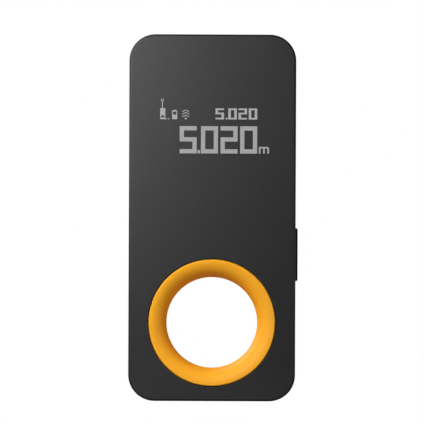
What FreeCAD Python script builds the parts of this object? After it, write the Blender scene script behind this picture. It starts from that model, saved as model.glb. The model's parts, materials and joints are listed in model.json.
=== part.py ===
"""Pocket laser distance meter with a grip ring, as a parametric FreeCAD document.

The meter stands on its lower end, the datum that distances are measured from. The frame's origin is the
centre of that end face: x runs across the case, with the measuring button on the +x side, y runs from the
display side (-y) to the back (+y), and z runs up the length to the window the laser leaves by.

A deep front cover and a flat rear cover make the case, and trap the grip ring between them. Inside, from
front to back: the display, the main board, and behind it the battery. The optics bench fills the top.
All sizes are millimetres. Each function below makes one sub-part, and its name is the sub-part's name.
"""

import FreeCAD, Part

import math
import os
import re

import Sketcher
from FreeCAD import Placement, Rotation, Vector

DIMENSIONS = {
    # case
    "case_width": 33.0,
    "case_length": 72.5,
    "case_depth": 16.5,
    "corner_round": 5.2,
    "edge_round": 0.4,
    "side_wall": 1.4,
    "face_wall": 1.2,
    "end_wall": 2.4,
    "seam_level": 6.3,
    "seam_gap": 0.1,
    "seam_bevel": 0.15,
    "opening_round": 0.05,
    "fit_gap": 0.1,
    "glue_gap": 0.03,
    "solid_lap": 0.1,
    "cut_past": 1.0,
    # rear cover
    "lip_wall": 0.7,
    "lip_drop": 1.2,
    "lip_low": 6.0,
    "lip_high": 66.0,
    "hook_across": 8.0,
    "hook_width": 5.0,
    "hook_wall": 0.8,
    "hook_catch": 0.5,
    "hook_drop": 1.7,
    "tooth_height": 0.7,
    "tooth_gap": 0.05,
    "catch_height": 1.0,
    "catch_gap": 0.15,
    "catch_side_gap": 0.2,
    "label_border": 1.6,
    "label_low": 31.2,
    "label_recess": 0.3,
    "label_thickness": 0.25,
    # case screws and their bosses
    "case_screw_across": 12.2,
    "case_screw_drop": 4.25,
    "case_boss_radius": 1.7,
    "case_boss_level": 5.5,
    "pillar_radius": 1.5,
    "pillar_gap": 0.05,
    # every screw
    "screw_head_radius": 1.2,
    "screw_head_height": 0.7,
    "screw_radius": 0.6,
    "screw_length": 4.0,
    "screw_clearance": 0.15,
    "head_sink": 0.1,
    "hole_deeper": 0.3,
    "thread_gap": 0.02,
    "cross_width": 0.3,
    "cross_span": 1.4,
    "cross_sink": 0.4,
    # grip ring
    "ring_height": 15.5,
    "ring_outer": 12.5,
    "ring_bore": 9.0,
    "ring_waist": 6.0,
    "ring_rim": 0.2,
    "ring_shoulder": 2.8,
    "ring_depth": 16.46,
    "ring_proud": 0.02,
    "ring_gap": 0.15,
    "ring_flange": 13.1,
    "ring_flange_wall": 1.1,
    "ring_sleeve": 10.6,
    "ring_sleeve_half": 4.1,
    # display
    "display_shift": 0.4,
    "display_height": 54.4,
    "active_width": 21.74,
    "active_height": 10.86,
    "panel_width": 26.7,
    "panel_height": 19.3,
    "panel_margin": 2.1,
    "panel_ledge": 4.1,
    "panel_gap": 0.2,
    "panel_round": 0.3,
    "panel_corner": 0.25,
    "display_skin": 0.8,
    "polarizer_thickness": 0.2,
    "polarizer_border": 0.5,
    "glass_thickness": 0.6,
    "cap_thickness": 0.5,
    "cap_border": 0.2,
    "cap_recess_margin": 0.3,
    "cap_recess_round": 0.2,
    "emitter_thickness": 0.05,
    "emitter_recess": 0.1,
    "foam_thickness": 0.4,
    "foam_gap": 0.02,
    "foam_border": 0.8,
    "foam_low": 0.4,
    "frame_thickness": 0.6,
    "frame_border": 0.45,
    "frame_low": 1.6,
    "frame_hole_width": 11.0,
    "frame_hole_height": 8.0,
    "frame_hole_round": 1.0,
    "stake_across": 8.0,
    "stake_beyond": 1.5,
    "stake_extra": 0.2,
    "stake_radius": 0.5,
    "stake_shoulder": 0.9,
    "stake_head": 0.14,
    "stake_head_radius": 0.8,
    "strap_width": 2.6,
    "driver_length": 9.0,
    "driver_width": 1.4,
    "driver_height": 0.35,
    "driver_low": 1.8,
    # flexible circuits
    "flex_thickness": 0.12,
    "flex_bond": 0.9,
    "display_flex_width": 12.0,
    "display_flex_bend": 41.6,
    "display_flex_end": 44.0,
    "display_flex_drop": 0.54,
    "optics_flex_width": 6.0,
    "optics_flex_bend": 0.6,
    "optics_flex_level": -3.0,
    "optics_flex_end": 48.0,
    "optics_flex_inset": 0.2,
    # main board
    "board_front": -2.5,
    "board_thickness": 0.8,
    "board_left": -14.6,
    "board_right": 12.9,
    "board_low": 20.6,
    "board_high": 49.8,
    "board_round": 1.0,
    "board_notch": 11.4,
    "board_boss_radius": 1.4,
    "board_screw_left": -13.0,
    "board_screw_right": 11.5,
    "board_screw_low": 22.6,
    "board_screw_high": 39.6,
    "ring_screw_right": 11.6,
    "ring_screw_low": 24.6,
    # what the board carries
    "processor_across": -5.1,
    "processor_up": 33.9,
    "processor_side": 7.0,
    "processor_height": 0.85,
    "radio_across": 5.9,
    "radio_up": 33.9,
    "radio_side": 5.0,
    "radio_height": 0.8,
    "shield_across": 5.8,
    "shield_up": 33.8,
    "shield_width": 8.8,
    "shield_length": 8.4,
    "shield_height": 1.4,
    "shield_wall": 0.2,
    "antenna_across": 11.5,
    "antenna_up": 45.6,
    "antenna_width": 1.8,
    "antenna_length": 5.6,
    "antenna_height": 1.0,
    "crystal_across": -11.4,
    "crystal_up": 31.65,
    "crystal_width": 3.2,
    "crystal_length": 2.5,
    "crystal_height": 0.8,
    "charger_across": -4.5,
    "charger_up": 37.5,
    "charger_side": 3.0,
    "charger_height": 0.8,
    "small_width": 1.0,
    "small_length": 0.5,
    "small_height": 0.45,
    "front_row_across": -0.1,
    "front_row_low": 30.65,
    "front_row_pitch": 1.3,
    "back_row_left": -12.35,
    "back_row_up": 43.5,
    "back_row_pitch": 1.2,
    "connector_height": 1.0,
    "connector_length": 2.6,
    "connector_side": 0.8,
    "connector_wall": 0.6,
    "connector_slot": 1.8,
    "slot_gap": 0.06,
    "display_connector_up": 44.2,
    "optics_connector_up": 48.2,
    # battery
    "battery_width": 26.4,
    "battery_low": 31.6,
    "battery_high": 49.4,
    "battery_thickness": 4.8,
    "battery_round": 1.0,
    "tape_thickness": 0.15,
    "tape_slack": 0.01,
    "tape_width": 18.0,
    "tape_border": 2.0,
    "tape_round": 1.0,
    "circuit_width": 18.0,
    "circuit_height": 1.4,
    "circuit_gap": 0.1,
    "circuit_level": 1.9,
    "circuit_thickness": 0.8,
    "circuit_chip_left": -4.0,
    "circuit_chip_right": -1.0,
    "circuit_chip_height": 0.8,
    "circuit_chip_inset": 0.15,
    "socket_across": 5.3,
    "socket_width": 4.6,
    "socket_height": 1.7,
    "socket_low": 35.0,
    "socket_high": 38.6,
    "socket_wall": 0.3,
    "socket_end_wall": 1.0,
    "plug_low": 33.2,
    "plug_gap": 0.05,
    "plug_end_gap": 0.1,
    "lead_radius": 0.4,
    "lead_bend": 1.0,
    "lead_drop": 1.4,
    "lead_spread": 1.8,
    # optics, along two axes parallel to z
    "beam_across": -5.6,
    "receiver_across": 4.6,
    "axis_level": 0.5,
    "window_length": 18.8,
    "window_width": 9.6,
    "window_sink": 1.4,
    "window_thickness": 1.1,
    "pane_round": 0.2,
    "mask_thickness": 0.2,
    "mask_gap": 0.1,
    "mask_lens_lap": 0.6,
    "mask_beam_lap": 0.15,
    "window_ledge": 0.6,
    "bench_half": 10.3,
    "bench_front": -4.9,
    "bench_back": 5.9,
    "bench_low": 51.5,
    "bench_high": 69.9,
    "ear_across": 12.6,
    "ear_height": 64.2,
    "ear_radius": 1.6,
    "ear_front": -1.0,
    "ear_back": 0.6,
    "web_lap": 1.0,
    "lens_radius": 4.6,
    "lens_seat": 66.6,
    "lens_edge": 1.2,
    "lens_rise": 1.4,
    "lens_slack": 0.05,
    "lens_ledge": 0.5,
    "throat_radius": 1.7,
    "filter_radius": 2.5,
    "filter_thickness": 0.5,
    "filter_gap": 0.02,
    "filter_seat": 53.7,
    "sensor_side": 2.8,
    "sensor_height": 0.9,
    "sensor_well": 0.3,
    "sensor_well_radius": 0.9,
    "barrel_radius": 3.0,
    "barrel_low": 52.6,
    "barrel_high": 68.9,
    "barrel_bore": 1.5,
    "barrel_can_gap": 0.1,
    "diode_radius": 2.8,
    "diode_flange": 1.2,
    "diode_can_radius": 1.8,
    "diode_can_height": 2.3,
    "diode_inset": 0.2,
    "diode_gap": 0.02,
    "diode_can_gap": 0.3,
    "diode_window_radius": 0.8,
    "diode_window_sink": 0.15,
    "pin_across": 1.0,
    "pin_front": 0.6,
    "pin_back": 1.1,
    "pin_below": 0.7,
    "pin_radius": 0.22,
    "pin_hole_radius": 0.3,
    "collimator_radius": 2.15,
    "collimator_seat": 64.5,
    "collimator_edge": 0.9,
    "collimator_rise": 0.8,
    "retainer_low": 1.3,
    "retainer_height": 1.6,
    "retainer_wall": 0.5,
    "optics_board_thickness": 0.8,
    "optics_board_inset": 0.1,
    "optics_board_round": 0.6,
    "optics_screw_across": 9.0,
    "optics_screw_back": 4.4,
    "optics_screw_front": -3.7,
    # side button and its switch
    "button_height": 29.0,
    "button_length": 10.5,
    "button_width": 4.2,
    "button_proud": 0.45,
    "button_gap": 0.15,
    "button_round": 0.3,
    "button_flange": 0.8,
    "button_flange_lap": 0.9,
    "button_back_gap": 0.05,
    "nub_radius": 0.9,
    "nub_gap": 0.02,
    "switch_level": -0.5,
    "switch_front": 12.4,
    "switch_back": 9.4,
    "switch_length": 4.4,
    "switch_top": 0.7,
    "switch_frame_wall": 0.2,
    "switch_frame_lift": 0.1,
    "chamber_width": 1.9,
    "chamber_length": 2.3,
    "plunger_front": 13.15,
    "plunger_back": 10.75,
    "plunger_width": 1.0,
    "plunger_length": 2.0,
    "plunger_gap": 0.05,
    "dome_seat": 10.2,
    "dome_height": 0.5,
    "dome_radius": 0.85,
    "dome_wall": 0.08,
    # charging socket
    "usb_height": 29.0,
    "usb_length": 8.94,
    "usb_width": 3.16,
    "usb_wall": 0.25,
    "usb_mouth": 0.35,
    "usb_reach": 7.3,
    "usb_slack": 0.02,
    "usb_base": 1.2,
    "usb_gap": 0.05,
    "tongue_length": 6.7,
    "tongue_thickness": 0.7,
    "tongue_reach": 4.9,
    "contact_pitch": 0.5,
    "contact_width": 0.26,
    "contact_thickness": 0.05,
    "contact_setback": 0.4,
}

# Levels and sides that many sub-parts share, as formulas of the sheet's words.
RIGHT = "case_width / 2"
LEFT = "-case_width / 2"
RIGHT_INSIDE = "case_width / 2 - side_wall"
FRONT = "-case_depth / 2"
BACK = "case_depth / 2"
FRONT_INSIDE = "-case_depth / 2 + face_wall"
BACK_INSIDE = "case_depth / 2 - face_wall"
CASE_SCREW_HEIGHT = "case_length - case_screw_drop"
LABEL_FLOOR = "case_depth / 2 - label_recess"
CASE_SCREW_SEAT = f"{LABEL_FLOOR} - screw_head_height - head_sink"
WINDOW_LEDGE_TOP = "case_length - window_sink"
BOARD_BACK = "board_front + board_thickness"
POLARIZER_FRONT = "-case_depth / 2 + display_skin + glue_gap"
GLASS_FRONT = f"{POLARIZER_FRONT} + polarizer_thickness"
GLASS_BACK = f"{GLASS_FRONT} + glass_thickness"
CAP_BACK = f"{GLASS_BACK} + cap_thickness"
FOAM_BACK = f"{CAP_BACK} + foam_thickness"
PANEL_HIGH = "display_height + active_height / 2 + panel_margin"
PANEL_LOW = f"{PANEL_HIGH} - panel_height"
BUTTON_STOP = f"{RIGHT_INSIDE} - button_back_gap"
USB_LEVEL = f"{BOARD_BACK} + usb_width / 2"
OPTICS_BOARD_LOW = "bench_low - optics_board_thickness"
DISPLAY_FLEX_BACK = "board_front - display_flex_drop"
BATTERY_BACK = f"{BACK_INSIDE} - tape_thickness - 2 * tape_slack"
BATTERY_FRONT = f"{BATTERY_BACK} - battery_thickness"
USB_BACK = f"{LEFT} + usb_mouth + usb_reach"

# Where screws stand: across and up. Each one is clear of the grip ring, the socket and the switch.
CASE_SCREWS = [("-case_screw_across", CASE_SCREW_HEIGHT), ("case_screw_across", CASE_SCREW_HEIGHT)]
BOARD_SCREWS = [
    ("board_screw_left", "board_screw_low"),
    ("board_screw_left", "board_screw_high"),
    ("board_screw_right", "board_screw_high"),
    ("ring_screw_right", "ring_screw_low"),
]
BENCH_SCREWS = [("-ear_across", "ear_height"), ("ear_across", "ear_height")]
OPTICS_BOARD_SCREWS = [
    ("-optics_screw_across", "optics_screw_back"),
    ("optics_screw_across", "optics_screw_front"),
]
# The laser diode's three leads.
LASER_PINS = [
    ("beam_across - pin_across", "axis_level - pin_front"),
    ("beam_across + pin_across", "axis_level - pin_front"),
    ("beam_across", "axis_level + pin_back"),
]
# The four stakes that hold the display's frame, above and below the display.
STAKES = [
    (f"display_shift {side} stake_across", height)
    for side in "+-"
    for height in (f"{PANEL_LOW} - stake_beyond", f"{PANEL_HIGH} + stake_beyond + stake_extra")
]

SHEET_WORD = re.compile(r"\b[a-z]+(?:_[a-z]+)+\b")
ALONG = {
    "x": Rotation(Vector(0, 1, 0), 90),
    "y": Rotation(Vector(1, 0, 0), -90),
    "z": Rotation(),
}
PLANE_NORMAL = {"XY": "+z", "XZ": "-y", "YZ": "+x"}
START, END, CENTRE = 1, 2, 3
NEAR = 1e-6
H_AXIS, V_AXIS = -1, -2

doc = FreeCAD.newDocument("laser_distance_meter")
sheet = doc.addObject("Spreadsheet::Sheet", "Dims")
probe = doc.addObject("App::FeaturePython", "Probe")
probe.addProperty("App::PropertyFloat", "Answer")


def fill_sheet():
    """One row for each driving dimension: its word and its value, which has the word as its alias."""
    for row, (word, size) in enumerate(DIMENSIONS.items(), start=1):
        sheet.set(f"A{row}", word)
        sheet.set(f"B{row}", str(size))
        sheet.setAlias(f"B{row}", word)
    doc.recompute()


def in_sheet_terms(formula):
    return SHEET_WORD.sub(lambda word: "Dims." + word.group(), formula)


def bind(thing, name, formula):
    """Drives a property of the thing by a formula of the sheet's words."""
    thing.setExpression(name, in_sheet_terms(formula))


def number(formula):
    """What a formula comes to now, which gives the sketch solver its starting point."""
    probe.setExpression("Answer", in_sheet_terms(formula))
    probe.recompute()
    return probe.Answer


# Part primitives and booleans


def block(name, x, y, z):
    """A box between a low and a high formula on each axis."""
    box = doc.addObject("Part::Box", name)
    for size, axis, (low, high) in zip(("Length", "Width", "Height"), "xyz", (x, y, z)):
        bind(box, size, f"({high}) - ({low})")
        bind(box, f"Placement.Base.{axis}", low)
    return box


def rod(name, axis, centre, span, radius, end_radius=None):
    """A cylinder along an axis, or a cone if it has an end radius. centre is on the other two axes."""
    low, high = span
    solid = doc.addObject("Part::Cone" if end_radius else "Part::Cylinder", name)
    solid.Placement = Placement(Vector(), ALONG[axis])
    across = iter(centre)
    for letter in "xyz":
        bind(solid, f"Placement.Base.{letter}", low if letter == axis else next(across))
    bind(solid, "Height", f"({high}) - ({low})")
    bind(solid, "Radius1" if end_radius else "Radius", radius)
    if end_radius:
        bind(solid, "Radius2", end_radius)
    return solid


def joined(name, pieces):
    fuse = doc.addObject("Part::MultiFuse", name)
    fuse.Shapes = pieces
    fuse.Refine = True
    return fuse


def without(name, base, tools):
    """base less every tool."""
    cut = doc.addObject("Part::Cut", name)
    cut.Base = base
    cut.Tool = tools[0] if len(tools) == 1 else joined(f"{name}_tools", tools)
    return cut


def gathered(name, pieces):
    """Separate solids that share one sub-part, such as identical screws."""
    compound = doc.addObject("Part::Compound", name)
    compound.Links = pieces
    return compound


def screw(name, axis, centre, seat, point):
    """A cross-head screw along an axis, its head on the seat. point (+1 or -1) is the way it drives."""
    head_end = f"({seat}) - ({point}) * screw_head_height"
    tip = f"({seat}) + ({point}) * screw_length"
    sink = f"{head_end} + ({point}) * cross_sink"
    spans = [(head_end, seat), (seat, tip), (head_end, sink)]
    if point < 0:
        spans = [(high, low) for low, high in spans]
    head = rod(f"{name}_head", axis, centre, spans[0], "screw_head_radius")
    shank = rod(f"{name}_shank", axis, centre, spans[1], "screw_radius")
    cross = []
    for arm, (first, second) in enumerate((("cross_span", "cross_width"), ("cross_width", "cross_span"))):
        widths = iter((first, second))
        places = iter(centre)
        ranges = {}
        for letter in "xyz":
            if letter == axis:
                ranges[letter] = spans[2]
            else:
                place, width = next(places), next(widths)
                ranges[letter] = (f"({place}) - {width} / 2", f"({place}) + {width} / 2")
        cross.append(block(f"{name}_arm{arm}", ranges["x"], ranges["y"], ranges["z"]))
    return without(f"{name}_screw", joined(f"{name}_blank", [head, shank]), cross)


# PartDesign bodies and sketches


def new_body(name):
    return doc.addObject("PartDesign::Body", name)


def sketch_on(body, plane, origin=("0", "0", "0")):
    """A sketch parallel to one of the body's origin planes, with its origin at this point of the frame."""
    sketch = body.newObject("Sketcher::SketchObject", f"{body.Name}_sketch")
    support = next(item for item in body.Origin.OriginFeatures if item.Role == f"{plane}_Plane")
    sketch.AttachmentSupport = [(support, "")]
    sketch.MapMode = "FlatFace"
    x, y, z = origin
    offsets = {"XY": (x, y, z), "XZ": (x, z, f"-({y})"), "YZ": (y, z, x)}[plane]
    for letter, formula in zip("xyz", offsets):
        bind(sketch, f"AttachmentOffset.Base.{letter}", formula)
    return sketch


def constrain(sketch, kind, *where):
    sketch.addConstraint(Sketcher.Constraint(kind, *where))


def dimension(sketch, kind, where, formula):
    """A driving dimension of the sketch, bound to a formula."""
    index = sketch.addConstraint(Sketcher.Constraint(kind, *where, number(formula)))
    sketch.renameConstraint(index, f"size_{index}")
    bind(sketch, f"Constraints.size_{index}", formula)


def pin(sketch, item, spot, u, v):
    """Holds a point of the sketch at a pair of formulas."""
    if u == "0" and v == "0":
        constrain(sketch, "Coincident", item, spot, -1, 1)
        return
    for kind, axis, formula in (("DistanceX", V_AXIS, u), ("DistanceY", H_AXIS, v)):
        if formula == "0":
            constrain(sketch, "PointOnObject", item, spot, axis)
        else:
            dimension(sketch, kind, (-1, 1, item, spot), formula)


def circle(sketch, u, v, radius):
    centre = Vector(number(u), number(v), 0)
    item = sketch.addGeometry(Part.Circle(centre, Vector(0, 0, 1), number(radius)))
    pin(sketch, item, CENTRE, u, v)
    dimension(sketch, "Radius", (item,), radius)
    return sketch


def arc(centre, radius, first, last):
    """A counter-clockwise arc between two angles in degrees."""
    whole = Part.Circle(centre, Vector(0, 0, 1), radius)
    return Part.ArcOfCircle(whole, math.radians(first), math.radians(last))


def rounded_rectangle(sketch, u, v, radius):
    """A rectangle between a low and a high formula each way, with its corners rounded."""
    (u0, u1), (v0, v1) = [[number(formula) for formula in pair] for pair in (u, v)]
    r = number(radius)
    lines = [
        ((u0 + r, v0), (u1 - r, v0)),
        ((u1, v0 + r), (u1, v1 - r)),
        ((u1 - r, v1), (u0 + r, v1)),
        ((u0, v1 - r), (u0, v0 + r)),
    ]
    corners = [(u1 - r, v0 + r), (u1 - r, v1 - r), (u0 + r, v1 - r), (u0 + r, v0 + r)]
    sides = [sketch.addGeometry(Part.LineSegment(Vector(*a, 0), Vector(*b, 0))) for a, b in lines]
    turns = [
        sketch.addGeometry(arc(Vector(*spot, 0), r, 90 * i - 90, 90 * i)) for i, spot in enumerate(corners)
    ]
    for i in range(4):
        constrain(sketch, "Tangent", sides[i], END, turns[i], START)
        constrain(sketch, "Tangent", turns[i], END, sides[(i + 1) % 4], START)
        constrain(sketch, "Vertical" if i % 2 else "Horizontal", sides[i])
    for i in range(1, 4):
        constrain(sketch, "Equal", turns[0], turns[i])
    dimension(sketch, "Radius", (turns[0],), radius)
    for side, kind, formula in zip(sides, ("DistanceY", "DistanceX") * 2, (v[0], u[1], v[1], u[0])):
        if formula == "0":
            constrain(sketch, "PointOnObject", side, START, H_AXIS if kind == "DistanceY" else V_AXIS)
        else:
            dimension(sketch, kind, (-1, 1, side, START), formula)
    return sketch


def pill(sketch, u, v, length, width, upright=False):
    """A slot shape: straight sides and half-round ends, centred at u, v."""
    half = f"(({length}) - ({width})) / 2"
    radius = f"({width}) / 2"
    first = (u, f"({v}) + {half}") if upright else (f"({u}) + {half}", v)
    second = (u, f"({v}) - {half}") if upright else (f"({u}) - {half}", v)
    turn = 0 if upright else -90
    r = number(radius)
    a = Vector(number(first[0]), number(first[1]), 0)
    b = Vector(number(second[0]), number(second[1]), 0)
    side = Vector(r, 0, 0) if upright else Vector(0, -r, 0)
    arc_a = sketch.addGeometry(arc(a, r, turn, turn + 180))
    arc_b = sketch.addGeometry(arc(b, r, turn + 180, turn + 360))
    line_a = sketch.addGeometry(Part.LineSegment(b + side, a + side))
    line_b = sketch.addGeometry(Part.LineSegment(a - side, b - side))
    constrain(sketch, "Tangent", line_a, END, arc_a, START)
    constrain(sketch, "Tangent", arc_a, END, line_b, START)
    constrain(sketch, "Tangent", line_b, END, arc_b, START)
    constrain(sketch, "Tangent", arc_b, END, line_a, START)
    constrain(sketch, "Vertical" if upright else "Horizontal", line_a)
    constrain(sketch, "Equal", arc_a, arc_b)
    dimension(sketch, "Radius", (arc_a,), radius)
    pin(sketch, arc_a, CENTRE, *first)
    along, moved = ("DistanceY", second[1]) if upright else ("DistanceX", second[0])
    dimension(sketch, along, (-1, 1, arc_b, CENTRE), moved)
    return sketch


def arc_between(start, end, turn, size):
    """The arc from start to end that turns left or right, with a given radius or its centre on an axis."""
    chord = end - start
    if size == "V_Axis":
        rise = (start.Length**2 - end.Length**2) / (2 * (start.y - end.y))
        centre = Vector(0, rise, 0)
    elif size == "H_Axis":
        reach = (start.Length**2 - end.Length**2) / (2 * (start.x - end.x))
        centre = Vector(reach, 0, 0)
    else:
        left = Vector(-chord.y, chord.x, 0).normalize()
        away = math.sqrt(number(size) ** 2 - (chord.Length / 2) ** 2)
        centre = start + chord * 0.5 + left * (away if turn == "left" else -away)
    first, last = (start, end) if turn == "left" else (end, start)
    angles = [math.degrees(math.atan2(point.y - centre.y, point.x - centre.x)) for point in (first, last)]
    if angles[1] < angles[0]:
        angles[1] += 360
    return arc(centre, (start - centre).Length, *angles)


def outline(sketch, corners, arcs=None, closed=True):
    """Sides through corners given as formulas. arcs makes a side an arc: {side: (turn, radius or axis)}."""
    arcs = arcs or {}
    spots = [Vector(number(u), number(v), 0) for u, v in corners]
    count = len(corners)
    sides = []
    ends = []
    for i in range(count if closed else count - 1):
        start, end = spots[i], spots[(i + 1) % count]
        if i in arcs:
            turn, size = arcs[i]
            item = sketch.addGeometry(arc_between(start, end, turn, size))
            ends.append((START, END) if turn == "left" else (END, START))
            if size in ("H_Axis", "V_Axis"):
                constrain(sketch, "PointOnObject", item, CENTRE, H_AXIS if size == "H_Axis" else V_AXIS)
            else:
                dimension(sketch, "Radius", (item,), size)
        else:
            item = sketch.addGeometry(Part.LineSegment(start, end))
            ends.append((START, END))
        sides.append(item)
    for i in range(len(sides) if closed else len(sides) - 1):
        following = (i + 1) % len(sides)
        constrain(sketch, "Coincident", sides[i], ends[i][1], sides[following], ends[following][0])
    for i, (u, v) in enumerate(corners):
        last = i == len(sides)
        side = i - 1 if last else i
        pin(sketch, sides[side], ends[side][1 if last else 0], u, v)
    return sketch


def extrude(body, kind, sketch, length, towards):
    """A Pad or Pocket of a sketch towards a direction such as +y. The volume must change the right way."""
    before = body.Shape.Volume if body.Tip else 0.0
    feature = body.newObject(f"PartDesign::{kind}", f"{body.Name}_{kind.lower()}")
    feature.Profile = sketch
    bind(feature, "Length", length)
    plane = next(
        plane
        for plane in PLANE_NORMAL
        if sketch.AttachmentSupport[0][0].Role.startswith(plane)
    )
    grows_along_normal = kind == "Pad"
    feature.Reversed = (PLANE_NORMAL[plane] == towards) != grows_along_normal
    doc.recompute()
    change = feature.Shape.Volume - before
    if change * (1 if kind == "Pad" else -1) <= 0:
        raise RuntimeError(f"{feature.Name} changed the volume by {change:.3f}")
    return feature


def pad(body, sketch, length, towards):
    return extrude(body, "Pad", sketch, length, towards)


def pocket(body, sketch, length, towards):
    return extrude(body, "Pocket", sketch, length, towards)


def revolve(body, sketch, axis):
    feature = body.newObject("PartDesign::Revolution", f"{body.Name}_revolution")
    feature.Profile = sketch
    feature.ReferenceAxis = (sketch, [axis])
    feature.Angle = 360
    doc.recompute()
    return feature


def loops(feature, side):
    """The edges of the flat face at a feature's outermost +y or -y level: outer loop, then inner loops."""
    shape = feature.Shape
    level = shape.BoundBox.YMax if side == "+y" else shape.BoundBox.YMin
    boxes = [(face, face.BoundBox) for face in shape.Faces]
    flat = [face for face, box in boxes if box.YLength < NEAR and abs(box.YMax - level) < NEAR]
    face = max(flat, key=lambda item: item.OuterWire.Length)

    def names(edges):
        numbered = enumerate(shape.Edges, start=1)
        keep = [i for i, edge in numbered if any(edge.isSame(other) for other in edges)]
        return [f"Edge{i}" for i in keep]

    inner = [edge for wire in face.Wires if not wire.isSame(face.OuterWire) for edge in wire.Edges]
    return names(face.OuterWire.Edges), names(inner)


def soften(body, kind, edges, size):
    """A Fillet or Chamfer on named edges of the body's last feature."""
    feature = body.newObject(f"PartDesign::{kind}", f"{body.Name}_{kind.lower()}")
    feature.Base = (body.Tip if body.Tip != feature else feature.BaseFeature, edges)
    bind(feature, "Radius" if kind == "Fillet" else "Size", size)
    doc.recompute()
    return feature


def span(middle, width):
    """The range that a width covers about its middle."""
    return (f"({middle}) - ({width}) / 2", f"({middle}) + ({width}) / 2")


def plate(name, plane, level, u, v, radius, thickness, towards):
    """A body that is one rounded plate. u and v are its ranges on the plane's two axes."""
    body = new_body(name)
    origin = {"XY": ("0", "0", level), "XZ": ("0", level, "0"), "YZ": (level, "0", "0")}[plane]
    pad(body, rounded_rectangle(sketch_on(body, plane, origin), u, v, radius), thickness, towards)
    return body


# Case


def front_cover():
    """A deep tub: the display side, the four walls, and the bosses that everything inside is screwed to."""
    body = new_body("FrontCover")
    across = (LEFT, RIGHT)
    front = ("0", FRONT, "0")
    pad(
        body,
        rounded_rectangle(sketch_on(body, "XZ", front), across, ("0", "case_length"), "corner_round"),
        f"seam_level - ({FRONT})",
        "+y",
    )
    soften(body, "Fillet", loops(body.Tip, "-y")[0], "edge_round")
    soften(body, "Chamfer", loops(body.Tip, "+y")[0], "seam_bevel")
    inside = ("0", "seam_level", "0")
    cavity_across = (f"-({RIGHT_INSIDE})", RIGHT_INSIDE)
    cavity_up = ("side_wall", "case_length - end_wall")
    inner_round = "corner_round - side_wall"
    cavity = rounded_rectangle(sketch_on(body, "XZ", inside), cavity_across, cavity_up, inner_round)
    pocket(body, cavity, f"seam_level - ({FRONT_INSIDE})", "-y")

    # The recess that leaves a thin skin for the display to shine through.
    panel_sides = span("display_shift", "panel_width + 2 * panel_gap")
    panel_ends = (f"{PANEL_LOW} - panel_gap", f"{PANEL_HIGH} + panel_gap")
    floor = sketch_on(body, "XZ", ("0", FRONT_INSIDE, "0"))
    recess = rounded_rectangle(floor, panel_sides, panel_ends, "panel_round")
    pocket(body, recess, "face_wall - display_skin", "-y")

    buried = ("0", f"{FRONT_INSIDE} - face_wall / 2", "0")
    for spots, radius, level, seat in (
        (CASE_SCREWS, "case_boss_radius", "case_boss_level", CASE_SCREW_SEAT),
        (BOARD_SCREWS, "board_boss_radius", "board_front", BOARD_BACK),
        (BENCH_SCREWS, "ear_radius", "ear_front", "ear_back"),
    ):
        bosses = sketch_on(body, "XZ", buried)
        for x, z in spots:
            circle(bosses, x, z, radius)
        pad(body, bosses, f"({level}) - ({buried[1]})", "+y")
        holes = sketch_on(body, "XZ", ("0", level, "0"))
        for x, z in spots:
            circle(holes, x, z, "screw_radius + thread_gap")
        pocket(body, holes, f"({level}) - ({seat}) + screw_length + hole_deeper", "-y")

    # Posts for the display's frame: a shoulder it rests on, a pin through it, and a head melted over it.
    frame_back = f"{FOAM_BACK} + frame_thickness"
    for low, high, radius in (
        (buried[1], FOAM_BACK, "stake_shoulder"),
        (f"{FOAM_BACK} - solid_lap", f"{frame_back} + solid_lap", "stake_radius"),
        (frame_back, f"{frame_back} + stake_head", "stake_head_radius"),
    ):
        posts = sketch_on(body, "XZ", ("0", low, "0"))
        for x, z in STAKES:
            circle(posts, x, z, radius)
        pad(body, posts, f"{high} - ({low})", "+y")

    opening = circle(sketch_on(body, "XZ", front), "0", "ring_height", "ring_outer + ring_gap")
    pocket(body, opening, "face_wall + cut_past", "+y")
    soften(body, "Fillet", loops(body.Tip, "-y")[1], "opening_round")

    top = ("0", "axis_level", "case_length")
    seat_length, seat_width = "window_length + 2 * fit_gap", "window_width + 2 * fit_gap"
    pocket(body, pill(sketch_on(body, "XY", top), "0", "0", seat_length, seat_width), "window_sink", "-z")
    throat_length, throat_width = "window_length - 2 * window_ledge", "window_width - 2 * window_ledge"
    throat = pill(sketch_on(body, "XY", top), "0", "0", throat_length, throat_width)
    pocket(body, throat, "end_wall + cut_past", "-z")

    slot_length, slot_width = "button_length + 2 * button_gap", "button_width + 2 * button_gap"
    slot = sketch_on(body, "YZ", (RIGHT, "0", "button_height"))
    pocket(body, pill(slot, "0", "0", slot_length, slot_width, True), "side_wall + cut_past", "-x")

    port_length, port_width = "usb_length + 2 * button_gap", "usb_width + 2 * button_gap"
    port = sketch_on(body, "YZ", (LEFT, USB_LEVEL, "usb_height"))
    pocket(body, pill(port, "0", "0", port_length, port_width, True), "side_wall + cut_past", "+x")

    for side in ("-hook_across", "hook_across"):
        catch = sketch_on(body, "XZ", ("0", "seam_level - hook_drop - catch_gap", "0"))
        low, high = span(side, "hook_width + 2 * catch_side_gap")
        bottom = "side_wall - hook_catch - tooth_gap"
        top = "side_wall + cut_past"
        outline(catch, [(low, bottom), (high, bottom), (high, top), (low, top)])
        pocket(body, catch, "catch_height", "+y")
    return body


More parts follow.
